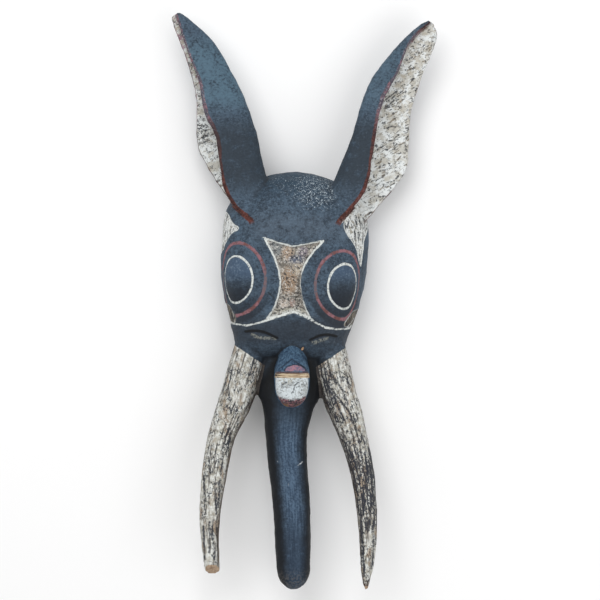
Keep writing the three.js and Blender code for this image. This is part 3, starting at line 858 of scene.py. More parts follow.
def face_relief(field):
    """Height of the domed pupils over the face, less the sunken ground and the painted lines' grooves."""
    own = field["own"]
    outer_head = (1 - smooth_step(1, 4, np.abs(field["head"]))) * smooth_step(6, 14, own[:, 2])
    no_limb = smooth_step(-1, 3, np.minimum(field["muzzle"], field["trunk"]["distance"]) + 2)
    face = outer_head * no_limb * smooth_step(-4, 2, field["ear_distance"])
    pupil_share = 1 - PUPIL_MARGIN / WHITE_RINGS[0][3]
    lift = PUPIL_BULGE * np.clip(1 - (field["eye_share"] / pupil_share) ** 2, 0, 1) ** 0.8
    ragged = 0.5 * cloud(own, 5, 11)
    lift -= GROUND_DEPTH * (1 - smooth_step(-2.2, 0.8, field["bridge"] + ragged))
    beside = 1 - smooth_step(-2.2, 0.8, np.where(field["bridge"] > 0, field["ground"], 9) + ragged)
    lift -= TEMPLE_DEPTH * beside * smooth_step(30, 62, own[:, 2])
    for name, (width, depth) in FACE_GROOVES.items():
        lift -= groove(field[name], width, depth)
    return lift, face


def carve_skin(points, normals, field):
    """Move the skin: sunken ground, domed pupils, grooves along the painted rings, tool marks and splits."""
    own = field["own"]
    lift, face = face_relief(field)
    move = lift * face

    rim = smooth_step(0.5, 6, points[:, 2])
    tusk = smooth_step(0, 2, field["tusk"])
    inside_ear = smooth_step(0, 2, field["ear_inside"]) * smooth_step(-2, 2, field["ear"])
    hollow = smooth_step(0, 3, field["hollow"])
    pupil = 1 - smooth_step(-6, 0, field["eye"])
    outer = (1 - tusk) * (1 - hollow) * (1 - 0.7 * pupil * face)
    for size, seed, depth_outside, depth_inside in GOUGES:
        bowls = scallops(own, size, seed) - BOWL_MEAN
        move += rim * bowls * (outer * (1 - 0.4 * inside_ear) * depth_outside + hollow * depth_inside)
    move += rim * 0.35 * cloud(own, 24, 5)

    limb = field["grain"] * np.array([1, 1, 0.07])
    long_cuts = np.abs(cloud(limb, 3.4, 6)) * 1.5 + np.abs(cloud(limb, 6.5, 7)) * 1.4
    long_cuts += groove(field["split"], 1.5, 0.8)
    move += tusk * (0.7 - long_cuts) * smooth_step(-0.5, 2, field["break"])
    trunk = smooth_step(-1, 2, np.minimum(field["head"], field["muzzle"]) - field["trunk"]["distance"])
    move += trunk * (1 - tusk) * 0.35 * cloud(limb, 5, 8)
    marks = groove(field["nick"], 2.0, 0.9) + groove(field["scuff"], 1.4, 0.35)
    move -= marks * (points[:, 2] > 60)

    ridge = points[:, 0] - MUZZLE_X - 0.02 * (points[:, 1] - LIPS_Y)
    upper = smooth_step(6, 12, points[:, 1] - LIPS_Y) * smooth_step(-2, 1, field["muzzle_on"])
    move += upper * (groove(ridge, 4.0, 1.6) - groove(field["crease"], 1.6, 0.9))

    rim_distance = np.minimum(np.abs(field["ear_front_rim"]), np.abs(field["ear_back_rim"]))
    on_rim = smooth_step(-1, 2, field["ear"]) * (1 - smooth_step(0, 9, rim_distance))
    wave = (0.9 * cloud(own, 21, 9) + 0.5 * cloud(own, 8, 10)) * smooth_step(0.05, 0.2, field["ear_share"])
    away = np.where(points[:, :1] < 0, LEFT_EAR["out"], RIGHT_EAR["out"])
    return points + normals * move[:, None] + away * (on_rim * wave)[:, None]


def soften_joins(points, edges, field):
    """Round off the inner corners where ears, muzzle, trunk and tusks leave the head, as a knife would."""
    parts = np.stack([field["ear_distance"], field["muzzle"]]
                     + [field[name]["distance"] for name in ("trunk", "left_tusk", "right_tusk")])
    near = np.exp(-(np.abs(parts) + np.abs(field["head"])) / 3.0).max(0)
    weight = np.clip(near * 1.6, 0, 1) * smooth_step(3, 10, points[:, 2]) * smooth_step(2, 6, field["slit"])
    weight *= 1 - smooth_step(0, 2, field["ear_inside"])
    return points + (smoothed(points, edges, 5) - points) * weight[:, None]


def grain_of(points, field):
    """Coordinates that run along each limb, ear and the head, so that streaks follow the wood."""
    grain = np.column_stack([field["own"][:, 0], field["own"][:, 2], field["own"][:, 1]])
    best = np.abs(field["head"])
    for name, limb in (("trunk", TRUNK), ("left_tusk", LEFT_TUSK), ("right_tusk", RIGHT_TUSK)):
        place = field[name]
        here = place["distance"] < best
        if name != "trunk":
            own_side = (points[:, 0] < LEFT_END) == (name == "left_tusk")
            here = (here | (field["tusk"] > 0)) & own_side
        along = np.column_stack([place["across"], place["through"], place["share"] * limb["length"]])
        grain[here] = along[here]
        best = np.where(here, np.minimum(best, place["distance"]), best)
    ear = (field["ear"] > 0) & (points[:, 1] > 60)
    along = np.column_stack([field["ear_out"], points[:, 2], field["ear_share"] * EAR_LENGTH])
    grain[ear] = along[ear]
    return grain


# Fields that the paint reads, by the size that their values are cut off at
SAVED_FIELDS = {
    60: ("eye", "red_eye", "ear_front_rim", "ear_back_rim", "ear_front_side"),
    40: ("ground", "bridge", "lower", "brow"),
    30: ("head", "tusk", "muzzle_on", "ear_distance"),
    20: ("crack", "slit", "crease", "rubbed", "ray", "scratch", "nick", "scuff", "split", "ear", "ear_inside",
         "bare"),
    6: ("broad",),
    2: ("fine", "ear_share", "trunk_edge", "tusk_inner"),
}


def move_skin(mesh, points):
    mesh.vertices.foreach_set("co", points.astype(np.float32).ravel())
    mesh.update()


def dress(mask):
    """Carve the fine forms into the skin, keep the fields for the paint and move the mask into its frame."""
    mesh = mask.data
    edges = numbers_of(mesh.edges, "vertices", 2, np.int32)
    points = numbers_of(mesh.vertices, "co", 3).astype(float)
    field = fields_of(points)
    points = soften_joins(points, edges, field)
    move_skin(mesh, points)
    points = carve_skin(points, normals_of(mesh), field)
    points[:, 2] = np.clip(points[:, 2], 0, MUZZLE_REACH + 1)
    move_skin(mesh, (points - np.array([*OUTLINE_MIDDLE, 0])) * MILLIMETRE)
    normals = normals_of(mesh)
    field["fine"] = bulge_of(points, normals, edges, 2)
    field["broad"] = bulge_of(points, normals, edges, 26)
    field["bare"] = np.maximum(np.maximum(field["hollow"], 1.6 - points[:, 2]), field["broken"])
    for limit, names in SAVED_FIELDS.items():
        for name in names:
            layer = mesh.attributes.new(name, "FLOAT", "POINT")
            layer.data.foreach_set("value", np.clip(field[name], -limit, limit).astype(np.float32))
    layer = mesh.attributes.new("grain", "FLOAT_VECTOR", "POINT")
    layer.data.foreach_set("vector", field["grain"].astype(np.float32).ravel())
    mesh.polygons.foreach_set("use_smooth", np.ones(len(mesh.polygons), bool))


def arithmetic(operation, turned=False):
    """A method that adds one node of arithmetic; a turned one takes its two values the other way round."""
    def method(self, *others):
        values = (self, *others)
        return self.paint.math(operation, *(values[::-1] if turned else values))

    return method


class Channel:
    """One number of the paint, with ordinary arithmetic that adds the nodes for it."""

    def __init__(self, paint, socket):
        self.paint = paint
        self.socket = socket

    __add__ = __radd__ = arithmetic("ADD")
    __sub__ = arithmetic("SUBTRACT")
    __rsub__ = arithmetic("SUBTRACT", turned=True)
    __mul__ = __rmul__ = arithmetic("MULTIPLY")
    __abs__ = arithmetic("ABSOLUTE")
    most = arithmetic("MAXIMUM")

    def step(self, low, high):
        """0 below the low value, 1 above the high one and a smooth change between; the two may be swapped."""
        if low > high:
            return 1 - self.step(high, low)
        node = self.paint.node("ShaderNodeMapRange", {"Value": self, "From Min": low, "From Max": high},
                               interpolation_type="SMOOTHSTEP", clamp=True)
        return Channel(self.paint, node.outputs["Result"])


class Color:
    """One colour of the paint."""

    def __init__(self, paint, socket):
        self.paint = paint
        self.socket = socket

    def under(self, over, amount):
        """This colour with another one laid over it, as thickly as the amount says."""
        return self.paint.blend(self, over, amount)


class Paint:
    """A material whose paint is built up from noise, fields of the skin and layers of colour."""

    def __init__(self, name):
        self.material = bpy.data.materials.new(name)
        self.material.use_nodes = True
        self.tree = self.material.node_tree
        self.shader = self.tree.nodes["Principled BSDF"]
        place = self.node("ShaderNodeTexCoord").outputs["Object"]
        self.place = self.scaled(place, (1 / MILLIMETRE,) * 3)

    def node(self, kind, inputs=None, **settings):
        node = self.tree.nodes.new(kind)
        for name, value in settings.items():
            setattr(node, name, value)
        for name, value in (inputs or {}).items():
            self.plug(node.inputs[name], value)
        return node

    def plug(self, socket, value):
        if isinstance(value, (Channel, Color)):
            value = value.socket
        if isinstance(value, bpy.types.NodeSocket):
            self.tree.links.new(value, socket)
        elif isinstance(value, tuple) and len(value) == 3 and socket.type == "RGBA":
            socket.default_value = (*value, 1)
        else:
            socket.default_value = value

    def math(self, operation, *values):
        node = self.node("ShaderNodeMath", dict(enumerate(values)), operation=operation)
        return Channel(self, node.outputs[0])

    def scaled(self, vector, scale):
        return self.node("ShaderNodeVectorMath", {0: vector, 1: scale}, operation="MULTIPLY").outputs[0]

    def shifted(self, vector, shift):
        return self.node("ShaderNodeVectorMath", {0: vector, 1: shift}, operation="ADD").outputs[0]

    def along(self, vector, axis):
        return Channel(self, self.node("ShaderNodeSeparateXYZ", {0: vector}).outputs[axis])

    def __getitem__(self, name):
        """A field of the skin, by its name."""
        return Channel(self, self.node("ShaderNodeAttribute", attribute_name=name).outputs["Fac"])

    def noise(self, vector, size, detail=3.0, roughness=0.55, seed=0.0):
        """Random field around 0.5; the size is that of its spots, in millimetres."""
        moved = self.shifted(vector, (seed, seed * 1.7, -seed)) if seed else vector
        node = self.node("ShaderNodeTexNoise", {"Vector": moved, "Scale": 1 / size, "Detail": detail,
                                                "Roughness": roughness})
        return Channel(self, node.outputs["Fac"])

    def cracks(self, vector, size):
        """Distance from the nearest edge between irregular cells of the given size, in millimetres."""
        node = self.node("ShaderNodeTexVoronoi", {"Vector": vector, "Scale": 1 / size},
                         feature="DISTANCE_TO_EDGE")
        return Channel(self, node.outputs["Distance"]) * size

    def pushed(self, vector, amount, reach):
        """The vector moved along all three axes by up to half the reach, as a random field says."""
        push = (amount - 0.5) * reach
        moved = self.node("ShaderNodeCombineXYZ", {"X": push, "Y": push, "Z": push}).outputs[0]
        return self.shifted(vector, moved)

    def blend(self, under, over, amount):
        node = self.node("ShaderNodeMix", {0: amount, 6: under, 7: over}, data_type="RGBA")
        return Color(self, node.outputs[2])

    def finish(self, color, roughness, height, strength):
        bump = self.node("ShaderNodeBump", {"Height": height, "Distance": MILLIMETRE, "Strength": strength})
        self.plug(self.shader.inputs["Base Color"], color)
        self.plug(self.shader.inputs["Roughness"], roughness)
        self.plug(self.shader.inputs["Normal"], bump.outputs["Normal"])
        return self.material


class MaskPaint(Paint):
    """The mask's paint: its place and grain, and random fields that several of its finishes share."""

    def __init__(self):
        super().__init__("painted_wood")
        self.grain = self.node("ShaderNodeAttribute", attribute_name="grain").outputs["Vector"]
        self.across = self.along(self.place, 0)
        self.up = self.along(self.place, 1)
        self.forward = self.along(self.place, 2)
        self.wide = self.noise(self.place, 42, 3)
        self.patchy = self.noise(self.place, 11, 4, 0.6, 5)
        self.fleck = self.noise(self.place, 3.2, 3, 0.65, 13)
        self.speck = self.noise(self.place, 1.5, 2, 0.5, 9)
        self.edge = (self.noise(self.place, 5, 3, 0.6, 21) - 0.5) * 2
        self.thick = self.noise(self.place, 17, 2, 0.5, 23) - 0.5
        self.worn = (self.fleck * 0.8 + self.patchy * 0.5 + self.speck * 0.25).step(0.82, 0.96)
        self.chalk = self.blend((0.66, 0.69, 0.67), (0.38, 0.38, 0.35), self.fleck.step(0.48, 0.68))
        self.on_face = self["head"].step(6, 3) * self["muzzle_on"].step(0.5, -1)
        self.lip_up = self.up - (LIPS_Y - OUTLINE_MIDDLE[1])
        self.lip_x = self.across - (MUZZLE_X - OUTLINE_MIDDLE[0])
        self.lip_sides = (abs(self.lip_x) + self.edge * 0.8).step(25.0, 23.6)
        self.on_lips = self["muzzle_on"].step(0.0, 0.8) * self.forward.step(124, 132)
        self.raised = 0

    def spot(self, pixel, reach, soft=0.4):
        """1 inside an oval around a pixel of the photograph, 0 outside it, with a ragged edge."""
        x, y = in_frame(pixel)
        side = (self.across - x) * (1 / (reach[0] * PIXEL))
        rise = (self.up - y) * (1 / (reach[1] * PIXEL))
        return (side * side + rise * rise + self.edge * 0.5).step(0.9 + soft, 0.9 - soft)

    def between(self, top, bottom, soft=6):
        """1 between two rows of the photograph, with a change over so many pixels at both."""
        return self.rows(top, top + soft) * self.rows(bottom, bottom - soft)

    def rows(self, none, full):
        """0 at one row of the photograph and 1 at another, with a smooth change between them."""
        return self.up.step(height_of(none), height_of(full))


def eye_disc(paint):
    """1 on the raised disc round each eye."""
    return paint["red_eye"].step(16, 11) * paint.on_face * paint["ground"].step(0, 1)


def black_paint(paint):
    """Blue-black paint, brushed on and dusty where it stands out, with painted shade in hollows, low on the
    face and on the lower eye discs, and painted highlights high on the ears and among the forehead's pale
    specks.
    """
    fleck, patchy, speck = paint.fleck, paint.patchy, paint.speck
    brush = paint.noise(paint.scaled(paint.place, (0.5, 1, 1)), 2.4, 3, 0.6, 27)
    tone = paint.wide * 0.25 + patchy * 0.4 + fleck * 0.5 + brush * 0.4
    color = paint.blend((0.020, 0.032, 0.048), (0.076, 0.118, 0.168), tone.step(0.58, 0.98))
    dusty = paint.noise(paint.scaled(paint.grain, (1, 1, 0.09)), 2.6, 4, 0.7, 3)
    color = color.under((0.135, 0.185, 0.235), (dusty * 0.7 + fleck * 0.6).step(0.68, 0.92) * 0.5)
    ear = paint["ear"].step(-3, 1)
    color = color.under((0.012, 0.016, 0.024), (speck + patchy * 0.4).step(0.66, 0.48) * (0.65 - ear * 0.35))
    # Painted shade on the lower half of each eye disc.
    color = color.under((0.014, 0.018, 0.025), eye_disc(paint) * paint.rows(284, 316) * 0.8)
    # Painted shade low on the face, where it tilts away from the light.
    low_face_shade = paint.rows(308, 328) * paint.rows(428, 400)
    color = color.under((0.026, 0.032, 0.042), low_face_shade * (0.75 - paint.between(336, 372, 12) * 0.4))
    color = color.under((0.022, 0.030, 0.040),
                        paint.between(108, 205, 28) * ear * patchy.step(0.25, 0.55) * 0.85)
    # Lighter blue high on the ears, more on the left one: partly blue paint, partly a painted highlight.
    color = color.under((0.082, 0.145, 0.195),
                        paint.between(30, 118, 24) * ear * tone.step(0.58, 0.85)
                        * (0.78 - paint.across.step(-20, 20) * 0.45))
    # Painted shade in the broad hollows of the carving.
    color = color.under((0.010, 0.013, 0.018), paint["broad"].step(-0.2, -2.4) * 0.8)
    worn_edge = paint["fine"].step(0.10, 0.45) * fleck.step(0.42, 0.6)
    color = color.under((0.12, 0.15, 0.175), worn_edge * 0.45)
    forehead = paint["head"].step(9, 3)
    above_nose = paint.between(206, 250, 20) * forehead * (1 - ear) * paint.across.step(-95, -60)
    color = color.under((0.125, 0.160, 0.205), above_nose * patchy.step(0.2, 0.6) * 0.30)
    crown = paint.rows(206, 182) * forehead * (1 - ear)
    color = color.under((0.016, 0.038, 0.062), crown * patchy.step(0.3, 0.6) * 0.6)
    # Pale specks of lifted paint, gathered into a painted highlight on the upper forehead.
    highlight_patch = paint.spot((318, 190), (28, 19), 0.9).most(paint.spot((286, 183), (16, 11), 0.9) * 0.4)
    pale_specks_and_highlight = (speck * 0.8 + fleck * 0.55 + highlight_patch * 0.11).step(0.835, 0.92)
    color = color.under((0.48, 0.55, 0.59), pale_specks_and_highlight * highlight_patch.step(0, 0.35) * forehead * 0.85)
    paint.raised = paint.raised + brush * 0.3 + dusty * 0.25
    return color


def trunk_paint(paint, color):
    """A bluer band of long brush marks down the trunk, also a painted highlight; its sides, root and lower
    end are darker, the sides partly with painted shade and the root with the muzzle's painted shadow, and
    beside the muzzle lies black painted shadow.
    """
    edge_place = paint["trunk_edge"]
    brush = paint.noise(paint.scaled(paint.grain, (1, 1, 0.07)), 2.6, 3, 0.6, 29)
    # The blue band is brushed paint that also stands for a painted highlight down the trunk's front; the
    # near-black outside it is partly dark paint, partly painted shade where the trunk turns away.
    blue_and_lit_stripe = (abs(edge_place - 0.10) + paint.edge * 0.10 + (paint.patchy - 0.5) * 0.35).step(0.84, 0.20)
    blue = paint.blend((0.028, 0.052, 0.090), (0.086, 0.140, 0.212),
                       (brush * 0.6 + paint.fleck * 0.5).step(0.43, 0.68))
    blue = blue.under((0.012, 0.018, 0.028), (paint.speck + paint.patchy * 0.4).step(0.64, 0.46) * 0.6)
    low_end = paint.rows(500, 545)
    blue = blue.under((0.013, 0.024, 0.043), low_end * paint.patchy.step(0.2, 0.5) * 0.75)
    # Painted shadow of the muzzle on the trunk's root.
    root = paint.rows(440, 410)
    blue = blue.under((0.026, 0.038, 0.054), root * 0.6)
    painted = paint.blend((0.005, 0.006, 0.008), blue, blue_and_lit_stripe)
    painted = painted.under((0.125, 0.115, 0.105), paint.rows(564, 582) * paint.fleck.step(0.42, 0.62) * 0.5)
    on_trunk = paint.rows(366, 382) * abs(edge_place).step(1.25, 1.1)
    color = color.under(painted, on_trunk * 0.95)
    # Near-black painted shadow beside and under the muzzle.
    muzzle_shadow = paint["muzzle_on"].step(-24, -5) * paint.between(350, 412, 14)
    return color.under((0.003, 0.003, 0.003), muzzle_shadow * paint.forward.step(100, 85) * 0.9)


def muzzle_paint(paint, color):
    """Blue all over the muzzle, under the colours of its lips, with painted shade in the creases that meet in
    a point.
    """
    patchy = paint.patchy
    snout = paint["muzzle_on"].step(-0.5, 0.8) * paint.forward.step(70, 100)
    brush = paint.noise(paint.scaled(paint.place, (1, 0.5, 0.5)), 2.2, 3, 0.65, 35)
    blue = paint.blend((0.018, 0.044, 0.092), (0.090, 0.165, 0.250),
                       (patchy * 0.4 + brush * 0.8).step(0.48, 0.72))
    blue = blue.under((0.010, 0.014, 0.024), (paint.speck + patchy * 0.4).step(0.63, 0.52) * 0.75)
    color = color.under(blue, snout * 0.95)
    # Painted shade along the carved creases.
    return color.under((0.010, 0.013, 0.022), paint["crease"].step(1.3, 0.3) * snout * 0.8)


def lip_paint(paint, color):
    """A white lower lip, marked and scratched, over a worn red-brown edge."""
    fleck, patchy, edge = paint.fleck, paint.patchy, paint.edge
    lip_up, lip_x = paint.lip_up, paint.lip_x
    lip_edge = lip_up + edge * 1.6
    low_edge = (lip_edge + lip_x * lip_x * -0.012 + edge * 1.2).step(-37.0, -34.0)
    white_lip = lip_edge.step(-2.6, -3.6) * low_edge * paint.lip_sides
    crescent = lip_edge.step(-24, -26) * abs(lip_x).step(23, 20)
    marks = paint.noise(paint.place, 3.8, 4, 0.8, 61).step(0.545, 0.60)
    white = paint.blend((0.57, 0.62, 0.64), (0.34, 0.36, 0.36), (patchy * 0.6 + fleck * 0.5).step(0.53, 0.64))
    white = white.under((0.36, 0.33, 0.25), paint.spot((286, 379), (9, 4), 0.8) * fleck.step(0.4, 0.6) * 0.6)
    marks = marks.most((paint["scratch"] + edge * 0.7).step(1.5, 0.6))
    white = white.under((0.030, 0.036, 0.045), marks * 0.92)
    red = paint.blend((0.215, 0.095, 0.110), (0.030, 0.028, 0.034),
                      (fleck * 0.6 + paint.speck * 0.5).step(0.50, 0.58))
    red = red.under((0.50, 0.46, 0.44),
                    paint.noise(paint.place, 3.5, 3, 0.7, 63).step(0.56, 0.64) * lip_up.step(-42, -34))
    red = red.under((0.20, 0.12, 0.05), lip_up.step(-40, -44) * patchy.step(0.45, 0.6) * 0.7)
    color = color.under(red, crescent * paint.on_lips)
    return color.under(white, white_lip * paint.on_lips)


def palate_paint(paint, color):
    """A pink mark in a dark outline above the mouth, and a brown stain along the upper lip."""
    patchy, edge, on_lips = paint.patchy, paint.edge, paint.on_lips
    lip_up, lip_x = paint.lip_up, paint.lip_x
    above_mouth = (lip_up + edge * 1.6).step(6.2, 7.2)
    pink_x = (lip_x - 4.5) * (1 / 15.0)
    pink_y = (lip_up - 6.0) * (1 / 9.5)
    pink_place = pink_x * pink_x + pink_y * pink_y + edge * 0.35
    pink = pink_place.step(1.1, 0.8) * above_mouth
    outline = abs(pink_place - 1.15).step(0.25, 0.08) * above_mouth
    color = color.under((0.010, 0.012, 0.020), outline * on_lips * 0.7)
    pink_color = paint.blend((0.32, 0.165, 0.205), (0.17, 0.13, 0.185),
                             (patchy * 0.5 + paint.fleck * 0.5).step(0.44, 0.58))
    color = color.under(pink_color, pink * on_lips * paint.fleck.step(0.66, 0.52))
    stained = lip_up.step(2.8, 3.4) * lip_up.step(6.8, 5.2) * on_lips * paint.lip_sides
    return color.under((0.085, 0.040, 0.028), stained * (0.9 - patchy * 0.4))


def eye_paint(paint, color):
    """Pupils with a painted highlight above and painted shade below, a white ring round each and a worn red
    one round the disc.
    """
    edge, thick = paint.edge, paint.thick
    eye = paint["eye"]
    pupil = eye.step(-1, -3)
    # Painted shade on the lower half of each pupil.
    color = color.under((0.013, 0.017, 0.024), pupil * paint.rows(272, 296) * 0.85)
    # Painted highlight on the upper half of each pupil.
    upper = pupil * paint.rows(287, 270)
    color = color.under((0.060, 0.100, 0.165), upper * 0.6)
    # Pale flecks on the pupil tops: dust and painted highlight.
    color = color.under((0.150, 0.200, 0.260),
                        upper * (paint.fleck * 0.6 + paint.patchy * 0.5).step(0.56, 0.70) * 0.7)
    towards_nose = abs(paint.across + 16.5).step(104, 66)
    ring = (abs(eye + edge * 0.5) + edge * 0.35 + thick * 1.8 - towards_nose * 0.6).step(1.6, 0.7)
    ring = ring * (1 - paint.worn * 0.85)
    color = color.under(paint.chalk, ring)
    rubbed = paint.between(266, 302, 12) * 0.75
    red = paint.blend((0.275, 0.130, 0.150), (0.170, 0.068, 0.062), paint.patchy.step(0.42, 0.58))
    red = red.under((0.150, 0.115, 0.125), rubbed)
    red_ring = (abs(paint["red_eye"] + edge * 0.9) + edge * 0.7 + thick * 2.6).step(3.3, 1.7)
    red_ring = red_ring * (1 - paint.worn * 0.5) * (0.95 - paint.fleck.step(0.5, 0.7) * 0.4)
    color = color.under(red, red_ring * paint["ground"].step(0.5, 1.5) * paint.on_face)
    paint.raised = paint.raised + (ring + red_ring * 0.7) * 0.18
    return color


def bridge_paint(paint):
    """Mottled tan of the sunken bridge: measured patches under dark and pale dots."""
    tan = paint.blend((0.15, 0.135, 0.115), (0.32, 0.30, 0.265),
                      (paint.patchy * 0.5 + paint.fleck * 0.5).step(0.42, 0.58))
    for pixel, reach, color in BRIDGE_PATCHES:
        tan = tan.under(color, paint.spot(pixel, reach, 0.7) * (paint.fleck.step(0.30, 0.55) * 0.5 + 0.35))
    pale_dots = paint.noise(paint.place, 3.6, 3, 0.7, 43).step(0.53, 0.59)
    tan = tan.under((0.62, 0.60, 0.56), pale_dots * 0.65)
    dark_dots = paint.noise(paint.place, 3.1, 3, 0.7, 41).step(0.535, 0.58)
    return tan.under((0.022, 0.024, 0.030), dark_dots * 0.88)


def low_cheeks(paint):
    """1 on the low cheeks, beside and under the eyes, where the paint is darkest and most worn."""
    return paint.rows(294, 304)


def ground_paint(paint, color):
    """Sunken ground with pale border lines: tan on the bridge, streaked chalk on temples and cheeks."""
    edge, thick, fleck = paint.edge, paint.thick, paint.fleck
    ground = paint["ground"]
    swept = paint.pushed(paint.scaled(paint.place, (1, 0.26, 1)), paint.noise(paint.place, 14, 2, 0.5, 53), 7)
    strokes = paint.noise(swept, 4.6, 3, 0.65, 51)
    chalk = paint.blend((0.66, 0.68, 0.67), (0.30, 0.285, 0.24),
                        paint.noise(paint.place, 6, 4, 0.65, 47).step(0.5, 0.62))
    chalk = chalk.under((0.034, 0.040, 0.050), strokes.step(0.53, 0.57) * 0.92)
    chalk = chalk.under((0.030, 0.034, 0.042),
                        paint.noise(paint.place, 2.4, 3, 0.7, 55).step(0.58, 0.62) * 0.85)
    cheek = paint.blend((0.17, 0.145, 0.11), (0.026, 0.024, 0.024), strokes.step(0.42, 0.54))
    cheek = cheek.under(paint.chalk, paint["ray"].step(1.5, 0.6) * 0.75)
    chalk = chalk.under(cheek, low_cheeks(paint))
    on_bridge = paint["bridge"].step(2.5, 1.5)
    patch = chalk.under(bridge_paint(paint), on_bridge)
    color = color.under(patch, (ground + edge * 0.7).step(0.4, -0.4) * paint["head"].step(6, 3))

    right_side = paint.across.step(-18, -8)
    rubbed = right_side * paint.between(268, 306, 10) * on_bridge * 0.6
    line = (abs(ground + 0.2 + edge * 0.6) + edge * 0.4 + thick * 2.0 + right_side * 0.2
            + rubbed).step(1.5, 0.6)
    line = line * (1 - paint.worn * 0.75) * (1 - rubbed * 0.5)
    line = line * (1 - (1 - on_bridge) * low_cheeks(paint) * 0.7)
    lower = paint["lower"]
    smear = (lower + edge * 1.8).step(6.0, 2.0) * ground.step(1.0, -0.5) * on_bridge * fleck.step(0.38, 0.56)
    lower_line = (lower + edge * 0.8 + thick * 1.6).step(1.9, 0.8) * (1 - paint.worn * 0.75)
    brow_line = (paint["brow"] + edge * 0.8 + thick * 1.2).step(1.5, 0.6) * (1 - paint.worn * 0.8)
    brow_line = brow_line * paint.across.step(26, 8)
    lines = line.most(lower_line).most(brow_line).most(smear * 0.85)
    color = color.under(paint.chalk, lines * paint.on_face)
    color = color.under((0.018, 0.018, 0.018), paint["crack"].step(1.2, 0.4) * 0.85 * paint.on_face)
    paint.raised = paint.raised + lines * 0.18
    return color


def slit_paint(paint, color):
    """Slits painted near-black as the shade inside them, with a pale smear on their lower edges where the
    paint is rubbed off.
    """
    broken_up = (paint.speck * 0.5 + paint.fleck * 0.5).step(0.42, 0.58)
    wear = (paint["rubbed"] + paint.edge * 1.6).step(3.0, 0.6) * broken_up
    color = color.under((0.30, 0.30, 0.25), wear * 0.75 * paint.on_face)
    # The slits are painted near-black as the shade inside them.
    return color.under((0.008, 0.008, 0.009), paint["slit"].step(3.0, 1.7) * 0.92 * paint.on_face)


def ear_paint(paint, color):
    """Chalky white inside the ears, stained and scratched, with a little pink high on the left one."""
    edge, patchy, place = paint.edge, paint.patchy, paint.place
    share = paint["ear_share"]
    on_ear = paint["ear"].step(-1.5, 0.0)
    inside = (paint["ear_inside"] + edge * 0.5).step(-0.6, 0.5) * on_ear * share.step(-0.12, -0.08)
    cream = paint.blend((0.74, 0.77, 0.77), (0.53, 0.52, 0.475),
                        paint.noise(place, 14, 4, 0.6, 71).step(0.42, 0.6))
    stain = paint.noise(place, 9, 4, 0.65, 73).step(0.48, 0.62) * (share.step(0.3, 0.65) * 0.6 + 0.25)
    cream = cream.under((0.40, 0.345, 0.255), stain * 0.6)
    slant = paint.node("ShaderNodeVectorRotate", {"Vector": place, "Angle": math.radians(-32)},
                       rotation_type="Z_AXIS").outputs[0]
    rub = paint.noise(paint.scaled(slant, (0.3, 1, 0.5)), 4.2, 4, 0.65, 83).step(0.575, 0.625)
    cream = cream.under((0.17, 0.13, 0.085), rub * 0.75)
    scratch = paint.noise(paint.scaled(slant, (0.24, 1, 0.5)), 3.0, 4, 0.72, 77).step(0.575, 0.605)
    scratch = scratch * paint.noise(place, 21, 2, 0.5, 81).step(0.40, 0.54)
    blots = paint.noise(place, 5, 5, 0.8, 79).step(0.57, 0.60)
    measured = (paint["scratch"] + edge * 1.3).step(1.8, 0.6) * paint.fleck.step(0.38, 0.52)
    freckles = paint.spot((200, 132), (11, 14), 0.7) * paint.fleck.step(0.50, 0.56)
    dark = scratch.most(blots).most(measured).most(freckles)
    cream = cream.under((0.022, 0.026, 0.034), dark * 0.93)
    pink = paint.across.step(-120, -135) * share.step(0.55, 0.7) * patchy.step(0.5, 0.58)
    cream = cream.under((0.33, 0.17, 0.22), pink * 0.7)
    paint.raised = paint.raised - dark * inside * 0.3
    return color.under(cream, inside)


def ear_rim_paint(paint, color):
    """Red-brown rims low down on the ears and mottled mauve ones higher up."""
    edge, patchy, place = paint.edge, paint.patchy, paint.place
    share = paint["ear_share"]
    low = share.step(0.26, 0.08)
    front = paint["ear_front_side"].step(-2, 3)
    front_rim = paint["ear_front_rim"] + edge * 0.9
    middle = share.step(0.18, 0.30) * share.step(0.72, 0.58)
    reach_in = 2.8 + low * 2.8 + middle * 2.8 + paint.thick * 3.0
    front_band = (reach_in - front_rim).step(-0.6, 0.7) * front * front_rim.step(-3.4, -2.0)
    back_rim = paint["ear_back_rim"]
    back_band = (back_rim + edge * 0.9).step(1.6, 0.6) * (back_rim + edge * 0.5).step(-3.0, -1.6)
    back_band = back_band * (1 - front)
    near_ear = paint["ear_distance"].step(7, 4) * share.step(-0.13, -0.10)
    red = paint.blend((0.038, 0.013, 0.011), (0.118, 0.034, 0.024),
                      (patchy * 0.5 + paint.fleck * 0.5).step(0.42, 0.58))
    mauve = paint.blend((0.10, 0.075, 0.095), (0.25, 0.115, 0.135),
                        paint.noise(place, 9, 3, 0.6, 87).step(0.48, 0.6))
    mauve = mauve.under((0.34, 0.32, 0.35), paint.noise(place, 2.4, 3, 0.6, 89).step(0.57, 0.64) * 0.8)
    mauve = mauve.under((0.028, 0.034, 0.046), paint.noise(place, 2.8, 3, 0.6, 90).step(0.54, 0.62) * 0.8)
    left = paint.across.step(-10, -40)
    red = red.under((0.040, 0.020, 0.018), left * share.step(0.20, 0.32) * 0.8)
    rim = mauve.under(red, (share + edge * 0.1).step(0.52, 0.36).most(share.step(0.90, 0.95) * (1 - left)))
    amount = front_band * (0.85 + low * 0.15) + back_band * 0.75
    return color.under(rim, amount * near_ear * (1 - paint.worn * 0.35))


